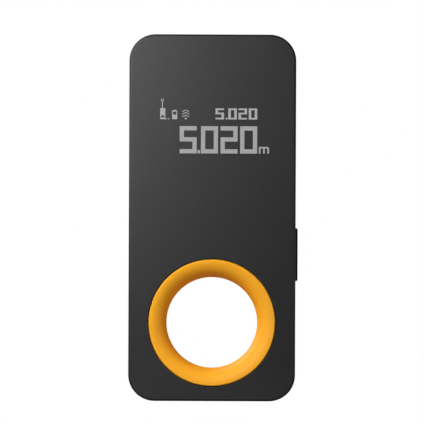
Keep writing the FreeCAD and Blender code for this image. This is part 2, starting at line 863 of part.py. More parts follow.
def rear_cover():
    """The flat back: side lips and bottom hooks locate it, and two screws under the label hold it."""
    body = new_body("RearCover")
    seam = ("0", "seam_level + seam_gap", "0")
    shape = sketch_on(body, "XZ", seam)
    rounded_rectangle(shape, (LEFT, RIGHT), ("0", "case_length"), "corner_round")
    pad(body, shape, f"{BACK} - ({seam[1]})", "+y")
    soften(body, "Fillet", loops(body.Tip, "+y")[0], "edge_round")
    soften(body, "Chamfer", loops(body.Tip, "-y")[0], "seam_bevel")
    inner = rounded_rectangle(
        sketch_on(body, "XZ", seam),
        (f"-({RIGHT_INSIDE})", RIGHT_INSIDE),
        ("side_wall", "case_length - end_wall"),
        "corner_round - side_wall",
    )
    pocket(body, inner, f"{BACK_INSIDE} - ({seam[1]})", "+y")

    buried = ("0", f"{BACK_INSIDE} + 2 * solid_lap", "0")
    lips = sketch_on(body, "XZ", buried)
    outside = f"{RIGHT_INSIDE} - fit_gap"
    for low, high in ((f"{outside} - lip_wall", outside), (f"-({outside})", f"-({outside}) + lip_wall")):
        outline(lips, [(low, "lip_low"), (high, "lip_low"), (high, "lip_high"), (low, "lip_high")])
    pad(body, lips, f"{buried[1]} - (seam_level - lip_drop)", "-y")

    pillars = sketch_on(body, "XZ", buried)
    for x, z in CASE_SCREWS:
        circle(pillars, x, z, "pillar_radius")
    pad(body, pillars, f"{buried[1]} - (case_boss_level + pillar_gap)", "-y")

    hook_base = "side_wall + fit_gap"
    stems = sketch_on(body, "XZ", buried)
    for side in ("-hook_across", "hook_across"):
        low, high = span(side, "hook_width")
        top = f"{hook_base} + hook_wall"
        outline(stems, [(low, hook_base), (high, hook_base), (high, top), (low, top)])
    pad(body, stems, f"{buried[1]} - (seam_level - hook_drop)", "-y")
    teeth = sketch_on(body, "XZ", ("0", "seam_level - hook_drop", "0"))
    for side in ("-hook_across", "hook_across"):
        low, high = span(side, "hook_width")
        tip = "side_wall - hook_catch + tooth_gap"
        root = f"{hook_base} + 2 * solid_lap"
        outline(teeth, [(low, tip), (high, tip), (high, root), (low, root)])
    pad(body, teeth, "tooth_height", "+y")

    opening = circle(sketch_on(body, "XZ", ("0", BACK, "0")), "0", "ring_height", "ring_outer + ring_gap")
    pocket(body, opening, "face_wall + cut_past", "-y")
    soften(body, "Fillet", loops(body.Tip, "+y")[1], "opening_round")

    floor = rounded_rectangle(
        sketch_on(body, "XZ", ("0", BACK, "0")),
        (f"{LEFT} + label_border", f"{RIGHT} - label_border"),
        ("label_low", "case_length - label_border"),
        "corner_round - label_border",
    )
    pocket(body, floor, "label_recess", "-y")
    wells = sketch_on(body, "XZ", ("0", LABEL_FLOOR, "0"))
    holes = sketch_on(body, "XZ", ("0", LABEL_FLOOR, "0"))
    for x, z in CASE_SCREWS:
        circle(wells, x, z, "screw_head_radius + screw_clearance")
        circle(holes, x, z, "screw_radius + screw_clearance")
    pocket(body, wells, "screw_head_height + head_sink", "-y")
    pocket(body, holes, f"{LABEL_FLOOR} - case_boss_level + cut_past", "-y")
    return body


def grip_ring():
    """A spool through the case: its mouths flare from a waist, its flanges sit inside both covers."""
    body = new_body("GripRing")
    bind(body, "Placement.Base.y", f"{FRONT} - ring_proud + ring_depth / 2")
    sketch = sketch_on(body, "XY", ("0", "0", "ring_height"))
    waist, outer = number("ring_bore"), number("ring_outer")
    waist_end = number("ring_waist / 2")
    crest = number("ring_depth / 2")
    rim, shoulder = number("ring_rim"), number("ring_shoulder")
    flange_high = f"{BACK_INSIDE} - fit_gap"
    flange_low = f"{flange_high} - ring_flange_wall"
    flange_top = number(flange_high)
    crest_across = outer - rim
    # The mouth is an arc tangent to the waist and to the shoulder, which sets its radius.
    drop = crest - shoulder - waist_end
    run = crest_across - waist
    mouth = (run**2 + drop**2 - shoulder**2) / (2 * (run - shoulder))
    mouth_centre = Vector(waist + mouth, waist_end, 0)
    shoulder_centre = Vector(crest_across, crest - shoulder, 0)
    rim_centre = Vector(crest_across, crest - rim, 0)
    lean = math.degrees(math.atan2(shoulder_centre.y - waist_end, shoulder_centre.x - mouth_centre.x))
    meet = mouth_centre + (shoulder_centre - mouth_centre).normalize() * mouth
    bore, outside = Vector(waist, 0, 0), Vector(outer, flange_top, 0)
    wall = [
        outside,
        Vector(number("ring_flange"), flange_top, 0),
        Vector(number("ring_flange"), flange_top - number("ring_flange_wall"), 0),
        Vector(outer, flange_top - number("ring_flange_wall"), 0),
        Vector(number("ring_sleeve"), number("ring_sleeve_half"), 0),
        Vector(number("ring_sleeve"), 0, 0),
        bore,
    ]
    straight = sketch.addGeometry(Part.LineSegment(bore, Vector(waist, waist_end, 0)))
    flare = sketch.addGeometry(arc(mouth_centre, mouth, lean, 180))
    lip = sketch.addGeometry(arc(shoulder_centre, shoulder, 90, lean))
    edge = sketch.addGeometry(arc(rim_centre, rim, 0, 90))
    skirt = sketch.addGeometry(Part.LineSegment(rim_centre + Vector(rim, 0, 0), outside))
    sides = [sketch.addGeometry(Part.LineSegment(a, b)) for a, b in zip(wall, wall[1:])]
    constrain(sketch, "Tangent", straight, END, flare, END)
    constrain(sketch, "Tangent", flare, START, lip, END)
    constrain(sketch, "Tangent", lip, START, edge, END)
    constrain(sketch, "Tangent", edge, START, skirt, START)
    constrain(sketch, "Vertical", skirt)
    chain = [skirt, *sides]
    for first, second in zip(chain, chain[1:]):
        constrain(sketch, "Coincident", first, END, second, START)
    constrain(sketch, "Coincident", sides[-1], END, straight, START)
    dimension(sketch, "Radius", (lip,), "ring_shoulder")
    dimension(sketch, "Radius", (edge,), "ring_rim")
    dimension(sketch, "DistanceY", (-1, 1, edge, END), "ring_depth / 2")
    dimension(sketch, "DistanceX", (-1, 1, edge, END), "ring_outer - ring_rim")
    dimension(sketch, "DistanceY", (-1, 1, straight, END), "ring_waist / 2")
    pin(sketch, straight, START, "ring_bore", "0")
    dimension(sketch, "DistanceY", (-1, 1, sides[0], START), flange_high)
    pin(sketch, sides[1], START, "ring_flange", flange_high)
    pin(sketch, sides[2], START, "ring_flange", flange_low)
    pin(sketch, sides[3], START, "ring_outer", flange_low)
    pin(sketch, sides[4], START, "ring_sleeve", "ring_sleeve_half")
    pin(sketch, sides[5], START, "ring_sleeve", "0")
    if abs(meet.x - sketch.getPoint(flare, START).x) > 0.01:
        raise RuntimeError("the grip ring's mouth isn't tangent to its shoulder")
    half = revolve(body, sketch, "V_Axis")
    mirror = body.newObject("PartDesign::Mirrored", "GripRing_mirror")
    mirror.Originals = [half]
    planes = [item for item in body.Origin.OriginFeatures if item.Role == "XZ_Plane"]
    mirror.MirrorPlane = (planes[0], [""])
    body.Tip = mirror
    doc.recompute()
    return body


def rear_label():
    """A thin blank label over the two case screws."""
    return plate(
        "RearLabel",
        "XZ",
        LABEL_FLOOR,
        (f"{LEFT} + label_border + fit_gap", f"{RIGHT} - label_border - fit_gap"),
        ("label_low + fit_gap", "case_length - label_border - fit_gap"),
        "corner_round - label_border - fit_gap",
        "label_thickness",
        "+y",
    )


def case_screws():
    screws = [screw(f"Case{i}", "y", spot, CASE_SCREW_SEAT, -1) for i, spot in enumerate(CASE_SCREWS)]
    return gathered("CaseScrews", screws)


# Optics


def window_pane():
    """The clear pane in the top end, just below the surface of the case."""
    body = new_body("WindowPane")
    sketch = sketch_on(body, "XY", ("0", "axis_level", f"{WINDOW_LEDGE_TOP} + mask_thickness"))
    pad(body, pill(sketch, "0", "0", "window_length", "window_width"), "window_thickness", "+z")
    top = max(body.Shape.Faces, key=lambda face: face.BoundBox.ZMin)
    level = top.BoundBox.ZMin - NEAR
    rim = [f"Edge{i}" for i, edge in enumerate(body.Shape.Edges, 1) if edge.BoundBox.ZMin > level]
    soften(body, "Fillet", rim, "pane_round")
    return body


def window_mask():
    """The black adhesive mask behind the pane, with a clear round hole for each optical axis."""
    body = new_body("WindowMask")
    sketch = sketch_on(body, "XY", ("0", "axis_level", WINDOW_LEDGE_TOP))
    pill(sketch, "0", "0", "window_length - mask_gap", "window_width - mask_gap")
    pad(body, sketch, "mask_thickness", "+z")
    holes = sketch_on(body, "XY", ("0", "axis_level", WINDOW_LEDGE_TOP))
    circle(holes, "receiver_across", "0", "lens_radius - mask_lens_lap")
    circle(holes, "beam_across", "0", "collimator_radius - mask_beam_lap")
    pocket(body, holes, "mask_thickness + cut_past", "+z")
    return body


def optics_bench():
    """A stiff moulding that holds the laser barrel and the receiving lens on parallel axes."""
    beam = ("beam_across", "axis_level")
    receiver = ("receiver_across", "axis_level")
    solids = [
        block(
            "BenchBlock",
            ("-bench_half", "bench_half"),
            ("bench_front", "bench_back"),
            ("bench_low", "bench_high"),
        )
    ]
    for i, (x, z) in enumerate(BENCH_SCREWS):
        solids.append(rod(f"BenchEar{i}", "y", (x, z), ("ear_front", "ear_back"), "ear_radius"))
        inward, outward = ("bench_half - web_lap", x) if i else (x, "web_lap - bench_half")
        web_up = span(z, "2 * ear_radius")
        solids.append(block(f"BenchWeb{i}", (inward, outward), ("ear_front", "ear_back"), web_up))
    below, above = "bench_low - cut_past", "bench_high + cut_past"
    throat_end = "lens_radius - lens_ledge"
    cuts = [
        rod("BenchBarrelBore", "z", beam, (below, above), "barrel_radius + lens_slack"),
        rod("BenchLensSeat", "z", receiver, ("lens_seat", above), "lens_radius + lens_slack"),
        rod("BenchThroat", "z", receiver, ("filter_seat", "lens_seat"), "throat_radius", throat_end),
        rod("BenchFilterSeat", "z", receiver, (below, "filter_seat"), "filter_radius + lens_slack"),
    ]
    for i, (x, z) in enumerate(BENCH_SCREWS):
        hole = ("ear_front - cut_past", "ear_back + cut_past")
        cuts.append(rod(f"BenchEarHole{i}", "y", (x, z), hole, "screw_radius + screw_clearance"))
    for i, spot in enumerate(OPTICS_BOARD_SCREWS):
        hole = (below, "bench_low + screw_length")
        cuts.append(rod(f"BenchBoardHole{i}", "z", spot, hole, "screw_radius + thread_gap"))
    return without("OpticsBench", joined("BenchSolid", solids), cuts)


def bench_screws():
    screws = [screw(f"Bench{i}", "y", spot, "ear_back", -1) for i, spot in enumerate(BENCH_SCREWS)]
    return gathered("BenchScrews", screws)


def receiving_lens():
    """A plano-convex lens with its domed side to the window."""
    body = new_body("ReceivingLens")
    sketch = sketch_on(body, "XZ", ("receiver_across", "axis_level", "lens_seat"))
    crown = "lens_edge + lens_rise"
    corners = [("0", "0"), ("lens_radius", "0"), ("lens_radius", "lens_edge"), ("0", crown)]
    revolve(body, outline(sketch, corners, {2: ("left", "V_Axis")}), "V_Axis")
    return body


def receiver_filter():
    height = ("filter_seat - filter_thickness - filter_gap", "filter_seat - filter_gap")
    return rod("ReceiverFilter", "z", ("receiver_across", "axis_level"), height, "filter_radius")


def photodiode():
    """The light sensor at the receiving lens's focus: a chip package on the optics board, with a well."""
    x, y = span("receiver_across", "sensor_side"), span("axis_level", "sensor_side")
    top = "bench_low + sensor_height"
    package = block("SensorPackage", x, y, ("bench_low", top))
    depth = (f"{top} - sensor_well", f"{top} + cut_past")
    well = rod("SensorWell", "z", ("receiver_across", "axis_level"), depth, "sensor_well_radius")
    return without("Photodiode", package, [well])


def laser_barrel():
    """A brass tube in the bench: the laser diode seats in its lower end, the lens near its top."""
    body = new_body("LaserBarrel")
    sketch = sketch_on(body, "XZ", ("beam_across", "axis_level", "0"))
    diode_top = "barrel_low + diode_inset + diode_flange"
    can_top = f"{diode_top} + diode_can_height + diode_can_gap"
    corners = [
        ("diode_radius + diode_gap", "barrel_low"),
        ("barrel_radius", "barrel_low"),
        ("barrel_radius", "barrel_high"),
        ("collimator_radius + lens_slack", "barrel_high"),
        ("collimator_radius + lens_slack", "collimator_seat"),
        ("barrel_bore", "collimator_seat"),
        ("barrel_bore", can_top),
        ("diode_can_radius + barrel_can_gap", can_top),
        ("diode_can_radius + barrel_can_gap", diode_top),
        ("diode_radius + diode_gap", diode_top),
    ]
    revolve(body, outline(sketch, corners), "V_Axis")
    return body


def laser_diode():
    """A can on a flange, with three leads that pass through the optics board."""
    beam = ("beam_across", "axis_level")
    flange_low = "barrel_low + diode_inset"
    flange_high = f"{flange_low} + diode_flange"
    can_top = f"{flange_high} + diode_can_height"
    solids = [
        rod("LaserFlange", "z", beam, (flange_low, flange_high), "diode_radius"),
        rod("LaserCan", "z", beam, (f"{flange_high} - solid_lap", can_top), "diode_can_radius"),
    ]
    pin_reach = (f"{OPTICS_BOARD_LOW} - pin_below", f"{flange_low} + solid_lap")
    for i, spot in enumerate(LASER_PINS):
        solids.append(rod(f"LaserPin{i}", "z", spot, pin_reach, "pin_radius"))
    light = (f"{can_top} - diode_window_sink", f"{can_top} + cut_past")
    light_hole = rod("LaserWindow", "z", beam, light, "diode_window_radius")
    return without("LaserDiode", joined("LaserSolid", solids), [light_hole])


def collimating_lens():
    body = new_body("CollimatingLens")
    sketch = sketch_on(body, "XZ", ("beam_across", "axis_level", "collimator_seat"))
    crown = "collimator_edge + collimator_rise"
    radius = "collimator_radius"
    corners = [("0", "0"), (radius, "0"), (radius, "collimator_edge"), ("0", crown)]
    revolve(body, outline(sketch, corners, {2: ("left", "V_Axis")}), "V_Axis")
    return body


def collimator_ring():
    """The ring pressed in over the collimating lens's edge."""
    beam = ("beam_across", "axis_level")
    low = "collimator_seat + retainer_low"
    high = f"{low} + retainer_height"
    outer = rod("RingOuter", "z", beam, (low, high), "collimator_radius")
    hole = (f"{low} - cut_past", f"{high} + cut_past")
    inner = rod("RingInner", "z", beam, hole, "collimator_radius - retainer_wall")
    return without("CollimatorRing", outer, [inner])


def optics_board():
    """The small board under the bench that carries the photodiode and the laser diode's leads."""
    body = new_body("OpticsBoard")
    low = ("0", "0", OPTICS_BOARD_LOW)
    across = ("optics_board_inset - bench_half", "bench_half - optics_board_inset")
    deep = ("bench_front + optics_board_inset", "bench_back - optics_board_inset")
    shape = rounded_rectangle(sketch_on(body, "XY", low), across, deep, "optics_board_round")
    pad(body, shape, "optics_board_thickness", "+z")
    holes = sketch_on(body, "XY", low)
    for x, y in OPTICS_BOARD_SCREWS:
        circle(holes, x, y, "screw_radius + screw_clearance")
    for x, y in LASER_PINS:
        circle(holes, x, y, "pin_hole_radius")
    pocket(body, holes, "optics_board_thickness + cut_past", "+z")
    return body


def optics_board_screws():
    spots = enumerate(OPTICS_BOARD_SCREWS)
    screws = [screw(f"Optics{i}", "z", spot, OPTICS_BOARD_LOW, 1) for i, spot in spots]
    return gathered("OpticsBoardScrews", screws)


def optics_flex():
    """The flexible circuit from under the optics board down to its connector on the main board."""
    x = ("-optics_flex_width / 2", "optics_flex_width / 2")
    bend = "(optics_flex_level - optics_flex_bend)"
    drop = f"{OPTICS_BOARD_LOW} - flex_thickness - optics_flex_bend"
    outer = "optics_flex_bend + flex_thickness"
    tail = ("optics_flex_level", "optics_flex_level + flex_thickness")
    under = ("bench_front + optics_flex_inset", bend)
    flat = block("OpticsFlexFlat", x, under, (f"{drop} + optics_flex_bend", OPTICS_BOARD_LOW))
    down = block("OpticsFlexDown", x, tail, ("optics_flex_end", drop))
    tube = rod("OpticsFlexOuter", "x", (bend, drop), x, outer)
    hollow = rod("OpticsFlexInner", "x", (bend, drop), x, "optics_flex_bend")
    before, after = f"{bend} - cut_past", f"{bend} + cut_past"
    low_half = block("OpticsFlexLow", x, (before, after), (f"{drop} - cut_past", drop))
    front_half = block("OpticsFlexFront", x, (before, bend), (f"{drop} - solid_lap", f"{drop} + cut_past"))
    turn = without("OpticsFlexTurn", tube, [hollow, low_half, front_half])
    return joined("OpticsFlex", [flat, turn, down])


# Display, from the front skin backwards


def panel_plate(name, level, thickness, border, low=None):
    """A rounded plate on the display panel's outline, smaller all round by a border."""
    sides = span("display_shift", f"panel_width - 2 * ({border})")
    ends = (low or PANEL_LOW, f"{PANEL_HIGH} - ({border})")
    return plate(name, "XZ", level, sides, ends, "panel_corner", thickness, "+y")


def display_polarizer():
    low = f"{PANEL_LOW} + panel_ledge"
    return panel_plate("DisplayPolarizer", POLARIZER_FRONT, "polarizer_thickness", "polarizer_border", low)


def display_glass():
    return panel_plate("DisplayGlass", GLASS_FRONT, "glass_thickness", "0")


def display_emitter():
    """The layer of lit dots behind the glass. Its outline is the display's active area."""
    return block(
        "DisplayEmitter",
        span("display_shift", "active_width"),
        (GLASS_BACK, f"{GLASS_BACK} + emitter_thickness"),
        span("display_height", "active_height"),
    )


def display_cap():
    """The glass cap bonded behind the dots, with a shallow recess over them."""
    low = f"{PANEL_LOW} + panel_ledge"
    body = panel_plate("DisplayCap", GLASS_BACK, "cap_thickness", "cap_border", low)
    recess = sketch_on(body, "XZ", ("display_shift", GLASS_BACK, "display_height"))
    across = span("0", "active_width + 2 * cap_recess_margin")
    up = span("0", "active_height + 2 * cap_recess_margin")
    rounded_rectangle(recess, across, up, "cap_recess_round")
    pocket(body, recess, "emitter_recess", "+y")
    return body


def display_driver():
    """The driver chip bonded to the ledge of the display glass."""
    return block(
        "DisplayDriver",
        span("display_shift", "driver_length"),
        (GLASS_BACK, f"{GLASS_BACK} + driver_height"),
        (f"{PANEL_LOW} + driver_low", f"{PANEL_LOW} + driver_low + driver_width"),
    )


def display_flex():
    """The flexible circuit from the glass ledge, folded back to the main board."""
    x = span("display_shift", "display_flex_width")
    near, far = GLASS_BACK, DISPLAY_FLEX_BACK
    middle = f"(({near}) + ({far})) / 2"
    outer = f"(({far}) - ({near})) / 2"
    fold = "display_flex_bend"
    bond_end = f"{PANEL_LOW} + flex_bond"
    front = block("DisplayFlexFront", x, (near, f"{near} + flex_thickness"), (fold, bond_end))
    back = block("DisplayFlexBack", x, (f"{far} - flex_thickness", far), (fold, "display_flex_end"))
    tube = rod("DisplayFlexOuter", "x", (middle, fold), x, outer)
    hollow = rod("DisplayFlexInner", "x", (middle, fold), x, f"{outer} - flex_thickness")
    beyond = (f"{near} - cut_past", f"{far} + cut_past")
    upper = block("DisplayFlexUpper", x, beyond, (fold, f"{fold} + 2 * ({outer})"))
    return joined("DisplayFlex", [front, back, without("DisplayFlexFold", tube, [hollow, upper])])


def display_foam():
    """A soft pad between the display and its frame."""
    low = f"{PANEL_LOW} + panel_ledge + foam_low"
    return panel_plate("DisplayFoam", CAP_BACK, "foam_thickness - foam_gap", "foam_border", low)


def display_frame():
    """The plate that keeps the display in its recess. Its two straps reach the stakes above and below."""
    low = f"{PANEL_LOW} + frame_low"
    body = panel_plate("DisplayFrame", FOAM_BACK, "frame_thickness", "-frame_border", low)
    middle = f"({PANEL_LOW} + {PANEL_HIGH} + stake_extra) / 2"
    strap_length = "panel_height + 2 * stake_beyond + stake_extra + strap_width"
    straps = sketch_on(body, "XZ", ("display_shift", FOAM_BACK, "0"))
    for side in ("-stake_across", "stake_across"):
        pill(straps, side, middle, strap_length, "strap_width", True)
    pad(body, straps, "frame_thickness", "+y")
    opening = sketch_on(body, "XZ", ("display_shift", FOAM_BACK, "display_height"))
    hole = (span("0", "frame_hole_width"), span("0", "frame_hole_height"))
    rounded_rectangle(opening, *hole, "frame_hole_round")
    for x, z in STAKES:
        circle(opening, f"{x} - display_shift", f"{z} - display_height", "stake_radius + thread_gap")
    pocket(body, opening, "frame_thickness + cut_past", "+y")
    return body


# Main board and what it carries


def main_board():
    """A board whose lower edge is hollowed to fit round the grip ring."""
    body = new_body("MainBoard")
    front = ("0", "board_front", "0")
    across, up = ("board_left", "board_right"), ("board_low", "board_high")
    shape = rounded_rectangle(sketch_on(body, "XZ", front), across, up, "board_round")
    pad(body, shape, "board_thickness", "+y")
    notch = circle(sketch_on(body, "XZ", front), "0", "ring_height", "board_notch")
    pocket(body, notch, "board_thickness + cut_past", "+y")
    holes = sketch_on(body, "XZ", front)
    for x, z in BOARD_SCREWS:
        circle(holes, x, z, "screw_radius + screw_clearance")
    pocket(body, holes, "board_thickness + cut_past", "+y")
    return body


def board_screws():
    screws = [screw(f"Board{i}", "y", spot, BOARD_BACK, -1) for i, spot in enumerate(BOARD_SCREWS)]
    return gathered("BoardScrews", screws)


def on_board(name, side, x, z, height):
    """A block that stands on the main board's front or back."""
    if side == "front":
        return block(name, x, (f"board_front - {height}", "board_front"), z)
    return block(name, x, (BOARD_BACK, f"{BOARD_BACK} + {height}"), z)


def board_part(name, side, word, width="width", length="length"):
    """A block on the board whose place and sizes are the dimension words that start with one word."""
    x = span(f"{word}_across", f"{word}_{width}")
    z = span(f"{word}_up", f"{word}_{length}")
    return on_board(name, side, x, z, f"{word}_height")


def processor_chip():
    return board_part("ProcessorChip", "front", "processor", "side", "side")


def radio_chip():
    return board_part("RadioChip", "front", "radio", "side", "side")


def radio_shield():
    """The pressed metal lid over the radio chip."""
    lid = board_part("ShieldLid", "front", "shield")
    room = block(
        "ShieldRoom",
        span("shield_across", "shield_width - 2 * shield_wall"),
        ("board_front - shield_height + shield_wall", "board_front + cut_past"),
        span("shield_up", "shield_length - 2 * shield_wall"),
    )
    return without("RadioShield", lid, [room])


def radio_antenna():
    return board_part("RadioAntenna", "front", "antenna")


def timing_crystal():
    return board_part("TimingCrystal", "front", "crystal")


def charger_chip():
    return board_part("ChargerChip", "back", "charger", "side", "side")


def chip_parts():
    """The small resistors and capacitors, in rows on both sides of the board."""
    parts = []
    for i in range(6):
        up = f"front_row_low + {i} * front_row_pitch"
        x, z = span("front_row_across", "small_width"), span(up, "small_length")
        parts.append(on_board(f"FrontPart{i}", "front", x, z, "small_height"))
    for i in range(5):
        across = f"back_row_left + {i} * back_row_pitch"
        x, z = span(across, "small_length"), span("back_row_up", "small_width")
        parts.append(on_board(f"BackPart{i}", "back", x, z, "small_height"))
    return gathered("ChipParts", parts)


def flex_connector(name, across, flex_width, up, flex_level, mouth):
    """A socket for a flexible circuit: a block on the board's front, open at its lower or upper end."""
    width = f"{flex_width} + 2 * connector_side"
    low, high = span(up, "connector_length")
    shell = on_board(f"{name}Shell", "front", span(across, width), (low, high), "connector_height")
    if mouth == "low":
        depth = (f"{low} - cut_past", f"{low} + connector_slot")
    else:
        depth = (f"{high} - connector_slot", f"{high} + cut_past")
    thick = (f"{flex_level} - slot_gap", f"{flex_level} + flex_thickness + slot_gap")
    slot = block(f"{name}Slot", span(across, f"{width} - 2 * connector_wall"), thick, depth)
    return without(name, shell, [slot])


def display_connector():
    level = f"{DISPLAY_FLEX_BACK} - flex_thickness"
    width, up = "display_flex_width", "display_connector_up"
    return flex_connector("DisplayConnector", "display_shift", width, up, level, "low")


def optics_connector():
    width, up = "optics_flex_width", "optics_connector_up"
    return flex_connector("OpticsConnector", "0", width, up, "optics_flex_level", "high")


# Power


def battery_socket():
    """The socket on the back of the board, open at its lower end for the battery plug."""
    across, up = span("socket_across", "socket_width"), ("socket_low", "socket_high")
    shell = on_board("SocketShell", "back", across, up, "socket_height")
    room = block(
        "SocketRoom",
        span("socket_across", "socket_width - 2 * socket_wall"),
        (f"{BOARD_BACK} + socket_wall", f"{BOARD_BACK} + socket_height - socket_wall"),
        ("socket_low - cut_past", "socket_high - socket_end_wall"),
    )
    return without("BatterySocket", shell, [room])


def battery_plug():
    inset = "socket_wall + plug_gap"
    return block(
        "BatteryPlug",
        span("socket_across", f"socket_width - 2 * ({inset})"),
        (f"{BOARD_BACK} + {inset}", f"{BOARD_BACK} + socket_height - ({inset})"),
        ("plug_low", "socket_high - socket_end_wall - plug_end_gap"),
    )


def battery_leads():
    """Two wires from the plug, down and back to the battery's circuit."""
    wires = []
    level = f"{BOARD_BACK} + socket_height / 2"
    turn = f"{level} + lead_bend"
    low = "plug_low - lead_drop - lead_bend"
    corners = [
        (level, "plug_low"),
        (level, f"{low} + lead_bend"),
        (turn, low),
        (f"{BATTERY_FRONT} + circuit_level", low),
    ]
    for i, x in enumerate(span("socket_across", "lead_spread")):
        body = new_body(f"Lead{i}")
        path = sketch_on(body, "YZ", (x, "0", "0"))
        outline(path, corners, {1: ("left", "lead_bend")}, closed=False)
        section = circle(sketch_on(body, "XY", (x, level, "plug_low")), "0", "0", "lead_radius")
        pipe = body.newObject("PartDesign::AdditivePipe", f"Lead{i}_pipe")
        pipe.Profile = section
        pipe.Spine = (path, [f"Edge{edge}" for edge in (1, 2, 3)])
        wires.append(body)
    doc.recompute()
    return gathered("BatteryLeads", wires)


def battery_cell():
    """A lithium pouch cell with soft edges."""
    body = new_body("BatteryCell")
    across, up = span("0", "battery_width"), ("battery_low", "battery_high")
    shape = sketch_on(body, "XZ", ("0", BATTERY_FRONT, "0"))
    rounded_rectangle(shape, across, up, "battery_round")
    pad(body, shape, "battery_thickness", "+y")
    for side in ("-y", "+y"):
        soften(body, "Fillet", loops(body.Tip, side)[0], "battery_round")
    return body


def battery_circuit():
    """The protection circuit on the cell's lower end."""
    front = f"{BATTERY_FRONT} + circuit_level"
    back = f"{front} + circuit_thickness"
    high = "battery_low - circuit_gap"
    low = f"{high} - circuit_height"
    board = block("CircuitBoard", span("0", "circuit_width"), (front, back), (low, high))
    chip = block(
        "CircuitChip",
        ("circuit_chip_left", "circuit_chip_right"),
        (f"{back} - solid_lap", f"{back} + circuit_chip_height"),
        (f"{low} + circuit_chip_inset", f"{high} - circuit_chip_inset"),
    )
    return joined("BatteryCircuit", [board, chip])


def battery_tape():
    """The double-sided tape that holds the cell to the rear cover."""
    return plate(
        "BatteryTape",
        "XZ",
        f"{BATTERY_BACK} + tape_slack",
        span("0", "tape_width"),
        ("battery_low + tape_border", "battery_high - tape_border"),
        "tape_round",
        "tape_thickness",
        "+y",
    )


# Side button and its switch


def side_button():
    """The key in the right-hand wall: a pill, a flange inside the wall, and a nub that meets the switch."""
    body = new_body("SideButton")
    centre = (BUTTON_STOP, "0", "button_height")
    key = pill(sketch_on(body, "YZ", centre), "0", "0", "button_length", "button_width", True)
    pad(body, key, f"{RIGHT} + button_proud - ({BUTTON_STOP})", "+x")
    outer = body.Shape.BoundBox.XMax - NEAR
    rim = [f"Edge{i}" for i, edge in enumerate(body.Shape.Edges, start=1) if edge.BoundBox.XMin > outer]
    soften(body, "Fillet", rim, "button_round")
    length, width = "button_length + 2 * button_flange_lap", "button_width + 2 * button_flange_lap"
    pad(body, pill(sketch_on(body, "YZ", centre), "0", "0", length, width, True), "button_flange", "-x")
    nub = circle(sketch_on(body, "YZ", centre), "switch_level", "0", "nub_radius")
    pad(body, nub, f"{BUTTON_STOP} - plunger_front - nub_gap", "-x")
    return body


def switch_housing():
    """The moulded body of the switch, with a channel for the plunger and a chamber for the dome."""
    z = span("button_height", "switch_length")
    shell = block("SwitchShell", ("switch_back", "switch_front"), (BOARD_BACK, "switch_top"), z)
    chamber = block(
        "SwitchChamber",
        ("dome_seat", "plunger_back + plunger_gap"),
        span("switch_level", "chamber_width"),
        span("button_height", "chamber_length"),
    )
    channel = block(
        "SwitchChannel",
        ("plunger_back", "switch_front + cut_past"),
        span("switch_level", "plunger_width + 2 * plunger_gap"),
        span("button_height", "plunger_length + 2 * plunger_gap"),
    )
    return without("SwitchHousing", shell, [chamber, channel])


def switch_frame():
    """The metal cover folded over the switch's back and ends."""
    outside = block(
        "FrameOutside",
        ("switch_back", "switch_front"),
        (f"{BOARD_BACK} + switch_frame_lift", "switch_top + switch_frame_wall"),
        span("button_height", "switch_length + 2 * switch_frame_wall"),
    )
    inside = block(
        "FrameInside",
        ("switch_back - cut_past", "switch_front + cut_past"),
        (f"{BOARD_BACK} - cut_past", "switch_top"),
        span("button_height", "switch_length"),
    )
    return without("SwitchFrame", outside, [inside])


def switch_plunger():
    return block(
        "SwitchPlunger",
        ("plunger_back", "plunger_front"),
        span("switch_level", "plunger_width"),
        span("button_height", "plunger_length"),
    )


def switch_dome():
    """The sprung metal dome that clicks flat under the plunger and lifts it again."""
    body = new_body("SwitchDome")
    sketch = sketch_on(body, "XY", ("dome_seat", "switch_level", "button_height"))
    corners = [
        ("dome_height - dome_wall", "0"),
        ("dome_height", "0"),
        ("0", "dome_radius"),
        ("0", "dome_radius - dome_wall"),
    ]
    revolve(body, outline(sketch, corners, {1: ("left", "H_Axis"), 3: ("right", "H_Axis")}), "H_Axis")
    return body


# Charging socket


def usb_shell():
    """The metal shell of the charging socket, flush inside the left wall."""
    body = new_body("UsbShell")
    sketch = sketch_on(body, "YZ", (f"{LEFT} + usb_mouth", USB_LEVEL, "usb_height"))
    pill(sketch, "0", "0", "usb_length", "usb_width", True)
    pill(sketch, "0", "0", "usb_length - 2 * usb_wall", "usb_width - 2 * usb_wall", True)
    pad(body, sketch, "usb_reach", "+x")
    return body


def usb_insulator():
    """The moulded block at the back of the socket, with the tongue that carries the contacts."""
    base = new_body("UsbBase")
    front = f"{USB_BACK} - usb_base"
    base_sketch = sketch_on(base, "YZ", (front, USB_LEVEL, "usb_height"))
    inner_length = "usb_length - 2 * usb_wall - 2 * usb_slack"
    inner_width = "usb_width - 2 * usb_wall - 2 * usb_slack"
    pad(base, pill(base_sketch, "0", "0", inner_length, inner_width, True), "usb_base - usb_gap", "+x")
    tongue = block(
        "UsbTongue",
        (f"{front} - solid_lap - tongue_reach", f"{front} + 2 * solid_lap"),
        span(USB_LEVEL, "tongue_thickness"),
        span("usb_height", "tongue_length"),
    )
    return joined("UsbInsulator", [base, tongue])


def usb_contacts():
    """Twelve gold strips on each side of the tongue."""
    strips = []
    base_front = f"{USB_BACK} - usb_base"
    reach = (f"{base_front} - solid_lap - tongue_reach + contact_setback", f"{base_front} - usb_gap")
    low, high = span(USB_LEVEL, "tongue_thickness")
    levels = ((f"{low} - contact_thickness", low), (high, f"{high} + contact_thickness"))
    for side, level in enumerate(levels):
        for i in range(12):
            middle = f"usb_height + ({i} - 5.5) * contact_pitch"
            strips.append(block(f"Contact{side}_{i}", reach, level, span(middle, "contact_width")))
    return gathered("UsbContacts", strips)


